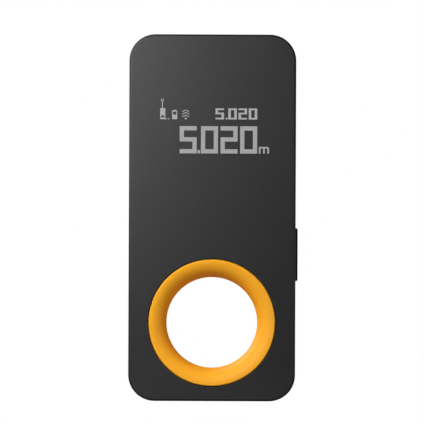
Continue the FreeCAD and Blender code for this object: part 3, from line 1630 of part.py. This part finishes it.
SUB_PARTS = [
    front_cover,
    rear_cover,
    grip_ring,
    rear_label,
    case_screws,
    window_pane,
    window_mask,
    optics_bench,
    bench_screws,
    receiving_lens,
    receiver_filter,
    photodiode,
    laser_barrel,
    laser_diode,
    collimating_lens,
    collimator_ring,
    optics_board,
    optics_board_screws,
    optics_flex,
    display_polarizer,
    display_glass,
    display_emitter,
    display_cap,
    display_driver,
    display_flex,
    display_foam,
    display_frame,
    main_board,
    board_screws,
    processor_chip,
    radio_chip,
    radio_shield,
    radio_antenna,
    timing_crystal,
    charger_chip,
    chip_parts,
    display_connector,
    optics_connector,
    battery_socket,
    battery_plug,
    battery_leads,
    battery_cell,
    battery_circuit,
    battery_tape,
    side_button,
    switch_housing,
    switch_frame,
    switch_plunger,
    switch_dome,
    usb_shell,
    usb_insulator,
    usb_contacts,
]


def check(parts):
    """Stops if an object failed, or if a sub-part isn't made of valid solids."""
    failed = [item.Name for item in doc.Objects if {"Invalid", "Error"} & set(item.State)]
    if failed:
        raise RuntimeError(f"these objects failed: {failed}")
    for part in parts:
        shape = part.Shape
        if shape.isNull() or not shape.isValid() or not shape.Solids:
            raise RuntimeError(f"{part.Label} has no valid solid")


def main():
    fill_sheet()
    parts = []
    for make in SUB_PARTS:
        part = make()
        part.Label = make.__name__
        parts.append(part)
    doc.recompute()
    check(parts)
    os.makedirs("parts", exist_ok=True)
    for part in parts:
        part.Shape.exportStep(f"parts/{part.Label}.step")


main()
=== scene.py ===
"""Looks for the pocket laser distance meter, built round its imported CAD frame.

The meter stands upright: x runs across it, -y is its display side and z runs up to its laser window.
Lengths are in metres, as Blender has them, and MM turns millimetres into them.
"""

import json
import math

import bmesh
import bpy
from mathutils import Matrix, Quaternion, Vector


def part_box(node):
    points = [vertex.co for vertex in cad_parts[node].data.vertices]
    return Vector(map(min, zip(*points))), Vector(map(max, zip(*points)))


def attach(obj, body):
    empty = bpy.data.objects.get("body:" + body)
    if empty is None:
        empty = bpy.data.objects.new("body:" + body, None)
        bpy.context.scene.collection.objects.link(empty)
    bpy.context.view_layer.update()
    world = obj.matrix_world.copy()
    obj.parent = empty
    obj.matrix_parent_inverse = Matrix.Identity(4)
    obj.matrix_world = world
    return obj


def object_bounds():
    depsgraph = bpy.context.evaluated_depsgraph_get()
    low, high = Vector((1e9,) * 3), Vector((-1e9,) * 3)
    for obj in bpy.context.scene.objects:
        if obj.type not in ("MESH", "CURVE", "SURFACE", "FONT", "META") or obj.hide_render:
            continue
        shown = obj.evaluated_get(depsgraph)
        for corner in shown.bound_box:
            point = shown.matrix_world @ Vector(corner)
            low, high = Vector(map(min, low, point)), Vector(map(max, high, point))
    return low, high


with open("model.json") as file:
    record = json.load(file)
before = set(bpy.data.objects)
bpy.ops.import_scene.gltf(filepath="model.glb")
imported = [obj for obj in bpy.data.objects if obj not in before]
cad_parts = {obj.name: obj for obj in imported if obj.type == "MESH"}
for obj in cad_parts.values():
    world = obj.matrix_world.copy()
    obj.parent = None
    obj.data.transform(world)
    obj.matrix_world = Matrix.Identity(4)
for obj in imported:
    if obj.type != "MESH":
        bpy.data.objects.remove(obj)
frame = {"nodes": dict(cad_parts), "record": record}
cad_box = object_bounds()

MM = 0.001
NODES = frame["nodes"]


# Materials: one node tree each, coloured and textured by position, so that no images are needed


class Shading:
    """A node tree, emptied at first. Its methods add nodes and return the socket that has their result."""

    def __init__(self, owner):
        owner.use_nodes = True
        self.tree = owner.node_tree
        self.tree.nodes.clear()

    def node(self, kind, inputs=None, **settings):
        """Adds a node. inputs maps an input's name or number to a socket or a plain value."""
        made = self.tree.nodes.new(kind)
        for name, value in settings.items():
            setattr(made, name, value)
        for name, value in (inputs or {}).items():
            if isinstance(value, bpy.types.NodeSocket):
                self.tree.links.new(value, made.inputs[name])
            else:
                made.inputs[name].default_value = value
        return made

    def maths(self, operation, first, second=0.0):
        return self.node("ShaderNodeMath", {0: first, 1: second}, operation=operation).outputs[0]

    def ramp(self, value, low, high, first=0.0, last=1.0):
        """value brought from low..high to first..last, and held at the ends."""
        inputs = {0: value, 1: low, 2: high, 3: first, 4: last}
        return self.node("ShaderNodeMapRange", inputs).outputs[0]


class Surface(Shading):
    """One material, patterned by place."""

    def __init__(self, name):
        self.material = bpy.data.materials.new(name)
        super().__init__(self.material)
        self.place = self.node("ShaderNodeTexCoord").outputs["Object"]

    def stretched(self, stretch):
        """The place with each axis scaled, which draws a pattern out along an axis scaled down."""
        inputs = {0: self.place, 1: stretch}
        return self.node("ShaderNodeVectorMath", inputs, operation="MULTIPLY").outputs[0]

    def noise(self, size, detail=2.0, stretch=(1, 1, 1)):
        """Cloudy noise from 0 to 1 whose blotches are about this size."""
        inputs = {"Vector": self.stretched(stretch), "Scale": 1 / size, "Detail": detail}
        return self.node("ShaderNodeTexNoise", inputs).outputs[0]

    def cells(self, size):
        """The distance pattern of random cells of this size."""
        inputs = {"Vector": self.place, "Scale": 1 / size}
        return self.node("ShaderNodeTexVoronoi", inputs).outputs["Distance"]

    def lines(self, pitch, axis):
        """A wave from 0 to 1 that repeats at this pitch along an axis."""
        settings = {"wave_type": "BANDS", "bands_direction": axis, "wave_profile": "SIN"}
        # The wave texture has 20 radians of phase to a unit of scale.
        inputs = {"Vector": self.place, "Scale": 2 * math.pi / (20 * pitch), "Distortion": 0.0}
        return self.node("ShaderNodeTexWave", inputs, **settings).outputs["Fac"]

    def blend(self, share, first, second):
        """The first colour at share 0 and the second at share 1."""
        # The mix node's inputs 6 and 7 and its output 2 are the ones for colours.
        first, second = [(*c, 1) if isinstance(c, tuple) else c for c in (first, second)]
        return self.node("ShaderNodeMix", {0: share, 6: first, 7: second}, data_type="RGBA").outputs[2]

    def mottled(self, colour, spread, size):
        """The colour, darker and lighter by a share of itself in cloudy blotches."""
        dark, light = [tuple(c * (1 + sign * spread) for c in colour) for sign in (-1, 1)]
        return self.blend(self.ramp(self.noise(size), 0.3, 0.7), dark, light)

    def rounded(self, radius):
        """The normal, as if each edge had this radius."""
        return self.node("ShaderNodeBevel", {"Radius": radius}, samples=6).outputs[0]

    def edges(self, radius):
        """1 along sharp edges and 0 elsewhere."""
        flat = self.node("ShaderNodeNewGeometry").outputs["Normal"]
        dot = {0: flat, 1: self.rounded(radius)}
        turned = self.node("ShaderNodeVectorMath", dot, operation="DOT_PRODUCT").outputs["Value"]
        return self.ramp(turned, 0.995, 0.80)

    def turned_away(self):
        """0 where the surface faces the view and 1 where it is seen edge-on."""
        return self.node("ShaderNodeLayerWeight", {"Blend": 0.5}).outputs["Facing"]

    def rims(self):
        """1 on the rounded edges round the front and the back, and 0 on flat faces and on the sides."""
        normal = self.node("ShaderNodeNewGeometry").outputs["Normal"]
        along = self.node("ShaderNodeSeparateXYZ", {0: normal}).outputs["Y"]
        tilt = self.maths("ABSOLUTE", along)
        return self.maths("MULTIPLY", self.ramp(tilt, 0.02, 0.2), self.ramp(tilt, 0.998, 0.97))

    def bumped(self, height, depth, normal=None):
        """The normal over a relief: height runs from 0 to 1 and depth is what that means."""
        inputs = {"Height": height, "Distance": depth, "Strength": 1.0}
        if normal is not None:
            inputs["Normal"] = normal
        return self.node("ShaderNodeBump", inputs).outputs[0]

    def principled(self, **inputs):
        """Joins a Principled shader to the output. Its inputs are given with _ for a space."""
        named = {name.replace("_", " "): value for name, value in inputs.items()}
        if isinstance(named["Base Color"], tuple):
            named["Base Color"] = (*named["Base Color"], 1)
        return self.output(self.node("ShaderNodeBsdfPrincipled", named).outputs[0])

    def output(self, shader):
        self.node("ShaderNodeOutputMaterial", {"Surface": shader})
        return self.material


def moulded(
    name,
    colour,
    roughness,
    grain=0.12 * MM,
    depth=0.002 * MM,
    specular=0.5,
    wear=0.25,
    edge=0.12 * MM,
    uneven=0.03,
    rim_sheen=1.0,
):
    """Moulded plastic: an even fine grain, faint clouds in its gloss, and edges polished by handling.

    rim_sheen is the share of its sheen that its rounded front and back edges have.
    """
    made = Surface(name)
    worn = made.edges(edge)
    scuff = made.maths("MULTIPLY", worn, made.ramp(made.noise(1.3 * MM, 3.0), 0.35, 0.75))
    light = tuple(min(1.0, c * 1.25 + 0.004) for c in colour)
    base = made.blend(made.maths("MULTIPLY", scuff, wear), made.mottled(colour, 0.06, 6 * MM), light)
    cloud = made.ramp(made.noise(9 * MM, 4.0), 0.25, 0.75, roughness - uneven, roughness + uneven)
    gloss = made.maths("SUBTRACT", cloud, made.maths("MULTIPLY", scuff, 0.3 * wear))
    normal = made.bumped(made.noise(grain, 1.0), depth, made.rounded(edge / 2))
    sheen = made.ramp(made.rims(), 0.0, 1.0, specular, specular * rim_sheen)
    return made.principled(Base_Color=base, Roughness=gloss, Specular_IOR_Level=sheen, Normal=normal)


def metal(name, colour, roughness, stretch=(1, 1, 1)):
    """Bare or plated metal. stretch draws its brushing out along an axis."""
    made = Surface(name)
    brushing = made.noise(0.06 * MM, 3.0, stretch)
    base = made.mottled(colour, 0.12, 1.6 * MM)
    gloss = made.ramp(brushing, 0.2, 0.8, roughness - 0.08, roughness + 0.08)
    normal = made.bumped(brushing, 0.001 * MM, made.rounded(0.04 * MM))
    return made.principled(Base_Color=base, Metallic=1.0, Roughness=gloss, Normal=normal)


def thin_glass(name, tint, haze=0.02, mirror=1.0):
    """Glass seen straight through: a tint, and reflections that grow towards a grazing view.

    mirror is the share of them that a coating leaves.
    """
    made = Surface(name)
    smear = made.ramp(made.noise(2.5 * MM, 4.0), 0.3, 0.8, haze, haze + 0.05)
    glossy = made.node("ShaderNodeBsdfGlossy", {"Color": (1, 1, 1, 1), "Roughness": smear}).outputs[0]
    colour = made.mottled(tint, 0.02, 5 * MM)
    through = made.node("ShaderNodeBsdfTransparent", {"Color": colour}).outputs[0]
    facing = made.node("ShaderNodeFresnel", {"IOR": 1.5}).outputs[0]
    share = made.maths("MULTIPLY", facing, mirror)
    return made.output(made.node("ShaderNodeMixShader", {0: share, 1: through, 2: glossy}).outputs[0])


def coated_lens(name, tint, coating):
    """A solid lens with a faint coloured coating and the odd speck of dust."""
    made = Surface(name)
    dust = made.ramp(made.cells(0.5 * MM), 0.02, 0.05, 0.25, 0.02)
    base = made.mottled(tint, 0.02, 3 * MM)
    return made.principled(
        Base_Color=base,
        Roughness=dust,
        Specular_IOR_Level=0.25,
        Transmission_Weight=1.0,
        IOR=1.52,
        Coat_Weight=0.12,
        Coat_Tint=(*coating, 1),
    )


def circuit_board(name, mask):
    """Solder mask over copper: tracks on a grid that turn corners, and small plated holes."""
    made = Surface(name)
    way = made.ramp(made.noise(5 * MM, 0.0), 0.49, 0.51)
    first, second = [made.ramp(made.lines(0.9 * MM, axis), 0.80, 0.86) for axis in "XZ"]
    turned = made.maths("SUBTRACT", 1.0, way)
    tracks = made.maths("ADD", made.maths("MULTIPLY", first, way), made.maths("MULTIPLY", second, turned))
    busy = made.ramp(made.noise(3 * MM), 0.46, 0.50)
    tracks = made.maths("MULTIPLY", tracks, busy)
    holes = made.ramp(made.cells(2.6 * MM), 0.10, 0.085)
    raised = tuple(c * 1.7 + 0.006 for c in mask)
    masked = made.blend(tracks, made.mottled(mask, 0.10, 2 * MM), raised)
    base = made.blend(holes, masked, (0.75, 0.62, 0.35))
    plated = made.maths("MULTIPLY", holes, 0.9)
    gloss = made.ramp(made.noise(1.0 * MM), 0.2, 0.8, 0.26, 0.36)
    normal = made.bumped(tracks, 0.018 * MM, made.rounded(0.03 * MM))
    return made.principled(Base_Color=base, Metallic=plated, Roughness=gloss, Normal=normal)


def flexible_circuit(name, film):
    """Amber film with fine copper lines running along it."""
    made = Surface(name)
    tracks = made.ramp(made.lines(0.5 * MM, "X"), 0.45, 0.60)
    copper = made.mottled((0.62, 0.30, 0.10), 0.10, 1.5 * MM)
    base = made.blend(tracks, made.mottled(film, 0.08, 2 * MM), copper)
    gloss = made.ramp(made.noise(1.2 * MM), 0.2, 0.8, 0.22, 0.34)
    normal = made.bumped(tracks, 0.01 * MM)
    return made.principled(Base_Color=base, Roughness=gloss, Normal=normal, Coat_Weight=0.3)


def foil_pouch(name, colour):
    """Laminated foil: matt, with the soft crinkles of a vacuum-sealed pouch."""
    made = Surface(name)
    crinkle = made.maths("ADD", made.noise(2.2 * MM, 5.0), made.maths("MULTIPLY", made.cells(1.4 * MM), 0.35))
    gloss = made.ramp(crinkle, 0.4, 1.0, 0.28, 0.46)
    normal = made.bumped(crinkle, 0.05 * MM)
    base = made.mottled(colour, 0.06, 3 * MM)
    return made.principled(Base_Color=base, Metallic=0.9, Roughness=gloss, Normal=normal)


def open_foam(name, colour):
    """Foam: small pits all over."""
    made = Surface(name)
    pits = made.cells(0.14 * MM)
    base = made.blend(made.ramp(pits, 0.1, 0.5), tuple(c * 0.4 for c in colour), colour)
    normal = made.bumped(pits, 0.03 * MM)
    return made.principled(Base_Color=base, Roughness=0.95, Specular_IOR_Level=0.2, Normal=normal)


def lit_dots(name, strength):
    """Display dots that give their own white light, with faint brighter and dimmer patches."""
    made = Surface(name)
    even = made.ramp(made.noise(0.8 * MM), 0.3, 0.7, 0.97 * strength, 1.03 * strength)
    return made.principled(
        Base_Color=(0.02, 0.02, 0.02),
        Roughness=0.5,
        Emission_Color=(1.0, 1.0, 1.0, 1.0),
        Emission_Strength=even,
    )


def soft_touch_shell():
    """The covers: near-black with a soft sheen, and less of it round their rims."""
    return moulded(
        "shell_black",
        (0.0045, 0.0045, 0.0048),
        0.44,
        grain=0.16 * MM,
        depth=0.0016 * MM,
        specular=0.55,
        wear=0.08,
        edge=0.2 * MM,
        uneven=0.008,
        rim_sheen=0.4,
    )


def satin_ring():
    """The ring: strong orange, satin, with a fine grain. Its sheen fades where it is seen edge-on."""
    made = Surface("grip_orange")
    base = made.mottled((0.76, 0.328, 0.012), 0.03, 7 * MM)
    gloss = made.ramp(made.noise(3 * MM, 4.0), 0.25, 0.75, 0.52, 0.58)
    normal = made.bumped(made.noise(0.14 * MM, 1.0), 0.0015 * MM, made.rounded(0.05 * MM))
    sheen = made.ramp(made.turned_away(), 0.5, 0.85, 0.20, 0.0)
    return made.principled(Base_Color=base, Roughness=gloss, Specular_IOR_Level=sheen, Normal=normal)


def blank_label():
    """The rear label: matt film with a coarser grain."""
    return moulded("label_black", (0.020, 0.020, 0.021), 0.55, grain=0.3 * MM, depth=0.004 * MM)


def finishes():
    """The material of each of the record's slots."""
    steel = (0.58, 0.58, 0.59)
    gold = (0.90, 0.66, 0.27)
    return {
        "shell_black": soft_touch_shell(),
        "button_black": moulded("button_black", (0.003, 0.003, 0.0034), 0.50, specular=0.12, wear=0.05),
        "grip_orange": satin_ring(),
        "label_black": blank_label(),
        "screw_steel": metal("screw_steel", (0.10, 0.10, 0.11), 0.35),
        "inner_screw_steel": metal("inner_screw_steel", steel, 0.30),
        "window_clear": thin_glass("window_clear", (0.75, 0.76, 0.80), mirror=0.3),
        "mask_black": moulded("mask_black", (0.006, 0.006, 0.007), 0.22, grain=0.3 * MM),
        "bench_black": moulded("bench_black", (0.018, 0.018, 0.018), 0.55),
        "lens_glass": coated_lens("lens_glass", (0.93, 0.97, 0.99), (0.45, 0.50, 1.0)),
        "filter_glass": coated_lens("filter_glass", (0.65, 0.02, 0.02), (1.0, 0.5, 0.5)),
        "sensor_black": moulded("sensor_black", (0.016, 0.016, 0.018), 0.25),
        "barrel_brass": metal("barrel_brass", (0.73, 0.52, 0.22), 0.28, stretch=(0.2, 0.2, 1)),
        "diode_gold": metal("diode_gold", gold, 0.20),
        "collimator_black": metal("collimator_black", (0.03, 0.03, 0.033), 0.35),
        "board_green": circuit_board("board_green", (0.012, 0.085, 0.040)),
        "flex_amber": flexible_circuit("flex_amber", (0.46, 0.19, 0.025)),
        "display_film": thin_glass("display_film", (0.30, 0.30, 0.32), haze=0.10),
        "display_glass": thin_glass("display_glass", (0.80, 0.88, 0.86)),
        "display_dots": moulded("display_dots", (0.010, 0.010, 0.016), 0.20, grain=0.17 * MM),
        "foam_grey": open_foam("foam_grey", (0.055, 0.055, 0.058)),
        "frame_steel": metal("frame_steel", steel, 0.32, stretch=(0.05, 1, 1)),
        "dome_steel": metal("dome_steel", (0.66, 0.66, 0.67), 0.22),
        "chip_black": moulded("chip_black", (0.014, 0.014, 0.016), 0.45, grain=0.06 * MM),
        "antenna_ceramic": moulded("antenna_ceramic", (0.76, 0.76, 0.72), 0.30),
        "crystal_steel": metal("crystal_steel", (0.62, 0.59, 0.52), 0.30),
        "parts_tan": moulded("parts_tan", (0.30, 0.21, 0.13), 0.35),
        "connector_cream": moulded("connector_cream", (0.66, 0.62, 0.50), 0.40),
        "lead_red": moulded("lead_red", (0.50, 0.022, 0.016), 0.45),
        "cell_silver": foil_pouch("cell_silver", (0.62, 0.62, 0.64)),
        "tape_white": moulded("tape_white", (0.66, 0.66, 0.63), 0.70),
        "switch_black": moulded("switch_black", (0.016, 0.016, 0.017), 0.45),
        "plunger_white": moulded("plunger_white", (0.70, 0.70, 0.67), 0.40),
        "usb_black": moulded("usb_black", (0.012, 0.012, 0.013), 0.35),
        "contact_gold": metal("contact_gold", gold, 0.18, stretch=(0.05, 1, 1)),
    }


def paint_frame():
    """Gives every CAD node the material of its slot."""
    made = finishes()
    for part in frame["record"]["subparts"]:
        for slot in NODES[part["node"]].material_slots:
            slot.material = made[part["material_slot"]]


# The lit display: cells of the display's own raster, counted from its top left corner


RASTER_WIDE = 128
RASTER_TALL = 64

# The share of the emitter's width that the raster fills.
LIT_SHARE = 0.991

# A cell's tile: its width as a share of the pitch, and its front's size as a share of its back's. It is sunk
# and proud by shares of how far the ring's crest stands proud of the front cover.
TILE_SHARE = 0.9
TILE_TAPER = 0.94
TILE_SUNK = 0.5
TILE_PROUD = 0.7

# A glow's strength: the large figures, and the small figures with the signs.
LARGE_GLOW = 0.405
SMALL_GLOW = 0.45

# Cells left clear for the unit at the right of the large figures, and the row that the small line stands on
UNIT_ROOM = 14
SMALL_LINE = 24

# The bars of each figure, lettered as seven-segment displays are.
SEGMENTS = {"0": "abcdef", "2": "abdeg", "5": "acdfg"}


def bar(left, top, wide, tall):
    """The cells of a filled rectangle."""
    return {(left + i, top + j) for i in range(wide) for j in range(tall)}


class Figures:
    """One size of seven-segment figures: stems stand and bars lie."""

    def __init__(self, wide, tall, stem, level, gap):
        self.wide = wide
        self.tall = tall
        self.stem = stem
        self.level = level
        self.gap = gap

    def figure(self, name, left, top):
        """One figure's cells."""
        middle = (self.tall - self.level) // 2
        right, bottom = left + self.wide - self.stem, top + self.tall - self.level
        segments = {
            "a": bar(left, top, self.wide, self.level),
            "b": bar(right, top, self.stem, middle + self.level),
            "c": bar(right, top + middle, self.stem, self.tall - middle),
            "d": bar(left, bottom, self.wide, self.level),
            "e": bar(left, top + middle, self.stem, self.tall - middle),
            "f": bar(left, top, self.stem, middle + self.level),
            "g": bar(left, top + middle, self.wide, self.level),
        }
        return set().union(*(segments[segment] for segment in SEGMENTS[name]))

    def reading(self, right, bottom, point, before, after):
        """5.020, set leftwards from its right edge. point is the size of its point.

        before and after are the gaps on the left and on the right of the point.
        """
        top = bottom - self.tall
        cells = set()
        left = right
        for name in "020":
            left -= self.wide
            cells |= self.figure(name, left, top)
            left -= self.gap
        left += self.gap - after - point[0]
        cells |= bar(left, bottom - point[1], *point)
        left -= before + self.wide
        return cells | self.figure("5", left, top)


def unit(right, bottom):
    """A small m: three stems under a top stroke."""
    wide, tall, stem = 12, 8, 2
    left, top = right - wide, bottom - tall
    pitch = (wide - stem) // 2
    stems = set().union(*(bar(left + step, top, stem, tall) for step in range(0, wide, pitch)))
    return (stems | bar(left, top, wide, stem)) - {(right - 1, top)}


def meter_icon(left, bottom):
    """The meter itself with its beam. A dotted line marks the end that it measures from."""
    hole = bar(left + 2, bottom - 5, 2, 1) | bar(left + 1, bottom - 4, 4, 2)
    body = bar(left, bottom - 13, 6, 13) - hole
    beam = bar(left + 2, bottom - 21, 1, 8)
    fork = bar(left + 1, bottom - 24, 1, 3) | bar(left + 3, bottom - 24, 1, 3)
    datum = bar(left + 6, bottom - 1, 2, 1) | bar(left + 9, bottom - 1, 2, 1)
    return body | beam | fork | datum


def battery_icon(left, bottom):
    """A battery, half full, with its terminal as a point."""
    empty = bar(left + 1, bottom - 9, 4, 3) | bar(left + 2, bottom - 6, 2, 1)
    return (bar(left, bottom - 10, 6, 10) - empty) | bar(left + 1, bottom - 11, 4, 1)


def wireless_icon(left, bottom):
    """Arcs that spread from a dot: a plain sign for a radio link."""
    wide, tall, half_line, spread = 8, 11, 0.55, 0.8
    cells = bar(left + 3, bottom - 2, 2, 2)
    for column in range(wide):
        for row in range(tall):
            across = column + 0.5 - wide / 2
            up = row + 0.5
            reach = math.hypot(across, up)
            on_an_arc = any(abs(reach - radius) < half_line for radius in (4.4, 7.3, 10.2))
            if on_an_arc and up >= abs(across) * spread:
                cells.add((left + column, bottom - 1 - row))
    return cells


def dot_piece(name, cells, material):
    """A small square tile for each lit cell, let into the front cover's face and just proud of it."""
    low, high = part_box("display_emitter")
    pitch = LIT_SHARE * (high.x - low.x) / RASTER_WIDE
    left = (low.x + high.x - RASTER_WIDE * pitch) / 2
    half = TILE_SHARE * pitch / 2
    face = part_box("front_cover")[0].y
    proud = face - cad_box[0].y
    front = face - TILE_PROUD * proud
    back = face + TILE_SUNK * proud
    mesh = bmesh.new()
    for column, row in sorted(cells):
        x = left + (column + 0.5) * pitch
        z = low.z + (RASTER_TALL - row - 0.5) * pitch
        rings = []
        for y, size in ((back, half), (front, TILE_TAPER * half)):
            corners = ((-size, -size), (size, -size), (size, size), (-size, size))
            rings.append([mesh.verts.new((x + dx, y, z + dz)) for dx, dz in corners])
        rear, tip = rings
        mesh.faces.new(rear)
        mesh.faces.new(reversed(tip))
        for i in range(4):
            j = (i + 1) % 4
            mesh.faces.new((rear[j], rear[i], tip[i], tip[j]))
    bmesh.ops.recalc_face_normals(mesh, faces=mesh.faces)
    data = bpy.data.meshes.new(name)
    mesh.to_mesh(data)
    mesh.free()
    data.materials.append(material)
    piece = bpy.data.objects.new(name, data)
    bpy.context.scene.collection.objects.link(piece)
    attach(piece, "case")


def light_display():
    """The reading in large figures with its unit, the last reading above it, and a row of signs."""
    right = RASTER_WIDE - UNIT_ROOM
    large_figures = Figures(wide=20, tall=32, stem=5, level=5, gap=3)
    small_figures = Figures(wide=10, tall=13, stem=3, level=2, gap=2)
    large = large_figures.reading(right, RASTER_TALL, point=(3, 4), before=1, after=1)
    large |= unit(RASTER_WIDE, RASTER_TALL)
    small = small_figures.reading(right, SMALL_LINE, point=(2, 2), before=2, after=1)
    signs = meter_icon(0, SMALL_LINE) | battery_icon(14, SMALL_LINE) | wireless_icon(26, SMALL_LINE)
    dot_piece("lit_reading", large, lit_dots("lit_large", LARGE_GLOW))
    dot_piece("lit_last_reading", small, lit_dots("lit_small", SMALL_GLOW))
    dot_piece("lit_signs", signs, lit_dots("lit_signs", SMALL_GLOW))


# The studio


# The room's light on the meter: first from the sides and above, then from ahead and behind. It changes from
# one to the other as a way's lean towards the front or back goes from the first share to the second.
ROOM_SIDE = 0.62
ROOM_END = 0.02
ROOM_SIDE_TO = 0.25
ROOM_END_FROM = 0.75

# The floor: how pale it looks, and how much light it throws back by the meter and away from it. The distances
# from the meter's foot are those over which that changes, and over which the floor fades from sight.
FLOOR_RADIUS = 0.35
FLOOR_PALE = 0.80
NEAR_BOUNCE = 0.35
FAR_BOUNCE = 0.03
BOUNCE_FROM = 0.02
BOUNCE_TO = 0.05
FADE_FROM = 0.05
FADE_TO = 0.11

# The floor also fades as a view of it flattens: the view's rise where that starts and where it ends
STEEP = 0.16
FLAT = 0.04

# Lamps on the display side: each one's place from the meter's middle, its size and its power. The same lamps
# stand behind, with a share of the power.
LAMPS = {
    "key": (Vector((-0.062, -0.074, 0.043)), 0.10, 0.168),
    "soft": (Vector((-0.12, -0.24, 0.10)), 0.15, 0.20),
    "fill": (Vector((0.13, -0.06, -0.024)), 0.05, 0.046),
}
REAR_SHARE = 0.5

# The camera: its lens's length in millimetres, and the share of the picture that the meter's height fills.
# The aim stands above and beside the meter's middle by shares of its height, and the picture leans a little.
LENS = 1000.0
FILL = 0.8651
DROP = 0.0158
SIDE = -0.0007
LEAN = math.radians(0.23)


def floor():
    """A pale floor that fades to the white room: far out, and where it is seen edge-on or from below.

    It throws back less light than it shows, most of all away from the meter, so that dark faces stay dark.
    """
    made = Surface("floor")
    seen = made.node("ShaderNodeLightPath").outputs["Is Camera Ray"]
    pale = made.mottled((FLOOR_PALE, FLOOR_PALE, FLOOR_PALE), 0.01, 40 * MM)
    away = made.node("ShaderNodeVectorMath", {0: made.place}, operation="LENGTH").outputs["Value"]
    bounce = made.ramp(away, BOUNCE_FROM, BOUNCE_TO, NEAR_BOUNCE, FAR_BOUNCE)
    matt = made.node("ShaderNodeBsdfDiffuse", {"Color": made.blend(seen, bounce, pale)}).outputs[0]
    far = made.ramp(away, FADE_FROM, FADE_TO)
    shape = made.node("ShaderNodeNewGeometry").outputs
    view = {0: shape["Incoming"], 1: (0, 0, 1)}
    steep = made.node("ShaderNodeVectorMath", view, operation="DOT_PRODUCT").outputs["Value"]
    edge_on = made.ramp(steep, STEEP, FLAT)
    hidden = made.maths("MULTIPLY", made.maths("MAXIMUM", far, edge_on), seen)
    clear = made.node("ShaderNodeBsdfTransparent").outputs[0]
    material = made.output(made.node("ShaderNodeMixShader", {0: hidden, 1: matt, 2: clear}).outputs[0])

    mesh = bmesh.new()
    bmesh.ops.create_circle(mesh, cap_ends=True, segments=96, radius=FLOOR_RADIUS)
    data = bpy.data.meshes.new("floor")
    mesh.to_mesh(data)
    mesh.free()
    data.materials.append(material)
    ground = bpy.data.objects.new("floor", data)
    bpy.context.scene.collection.objects.link(ground)


def room():
    """White to the camera. To the meter it is bright at the sides and above, and dim ahead and behind."""
    world = bpy.data.worlds.new("room")
    made = Shading(world)
    way = made.node("ShaderNodeTexCoord").outputs["Generated"]
    along = made.node("ShaderNodeSeparateXYZ", {0: way}).outputs["Y"]
    lean = made.maths("ABSOLUTE", along)
    strength = made.ramp(lean, ROOM_SIDE_TO, ROOM_END_FROM, ROOM_SIDE, ROOM_END)
    daylight = {"Color": (0.96, 0.98, 1.0, 1), "Strength": strength}
    lighting = made.node("ShaderNodeBackground", daylight).outputs[0]
    shown = made.node("ShaderNodeBackground", {"Color": (1, 1, 1, 1)}).outputs[0]
    seen = made.node("ShaderNodeLightPath").outputs["Is Camera Ray"]
    mixed = made.node("ShaderNodeMixShader", {0: seen, 1: lighting, 2: shown}).outputs[0]
    made.node("ShaderNodeOutputWorld", {"Surface": mixed})
    bpy.context.scene.world = world


def softbox(name, place, target, size, power):
    """A square area light at a place, aimed at a target."""
    data = bpy.data.lights.new(name, "AREA")
    data.shape = "SQUARE"
    data.size = size
    data.energy = power
    lamp = bpy.data.objects.new(name, data)
    lamp.location = place
    lamp.rotation_mode = "QUATERNION"
    lamp.rotation_quaternion = (target - place).to_track_quat("-Z", "Y")
    lamp.visible_camera = False
    bpy.context.scene.collection.objects.link(lamp)


def lights(centre):
    """A key close by on the upper left that falls off across the face, a large soft light and a low fill."""
    for name, (place, size, power) in LAMPS.items():
        behind = Vector((place.x, -place.y, place.z))
        softbox("front_" + name, centre + place, centre, size, power)
        softbox("rear_" + name, centre + behind, centre, size, REAR_SHARE * power)


def camera(low, high):
    """A long lens, straight on: the meter sits a little low in the picture."""
    data = bpy.data.cameras.new("camera")
    data.lens = LENS
    data.clip_start = 0.1
    data.clip_end = 10
    viewer = bpy.data.objects.new("camera", data)
    height = high.z - low.z
    aim = Vector((SIDE * height, low.y, (low.z + high.z) / 2 + DROP * height))
    distance = height / FILL * LENS / data.sensor_width
    viewer.location = aim - Vector((0, distance, 0))
    viewer.rotation_mode = "QUATERNION"
    viewer.rotation_quaternion = Vector((0, 1, 0)).to_track_quat("-Z", "Y") @ Quaternion((0, 0, 1), LEAN)
    bpy.context.scene.collection.objects.link(viewer)
    bpy.context.scene.camera = viewer


paint_frame()
light_display()
floor()
room()
lights((cad_box[0] + cad_box[1]) / 2)
camera(*cad_box)
bpy.context.scene.view_settings.view_transform = "Standard"
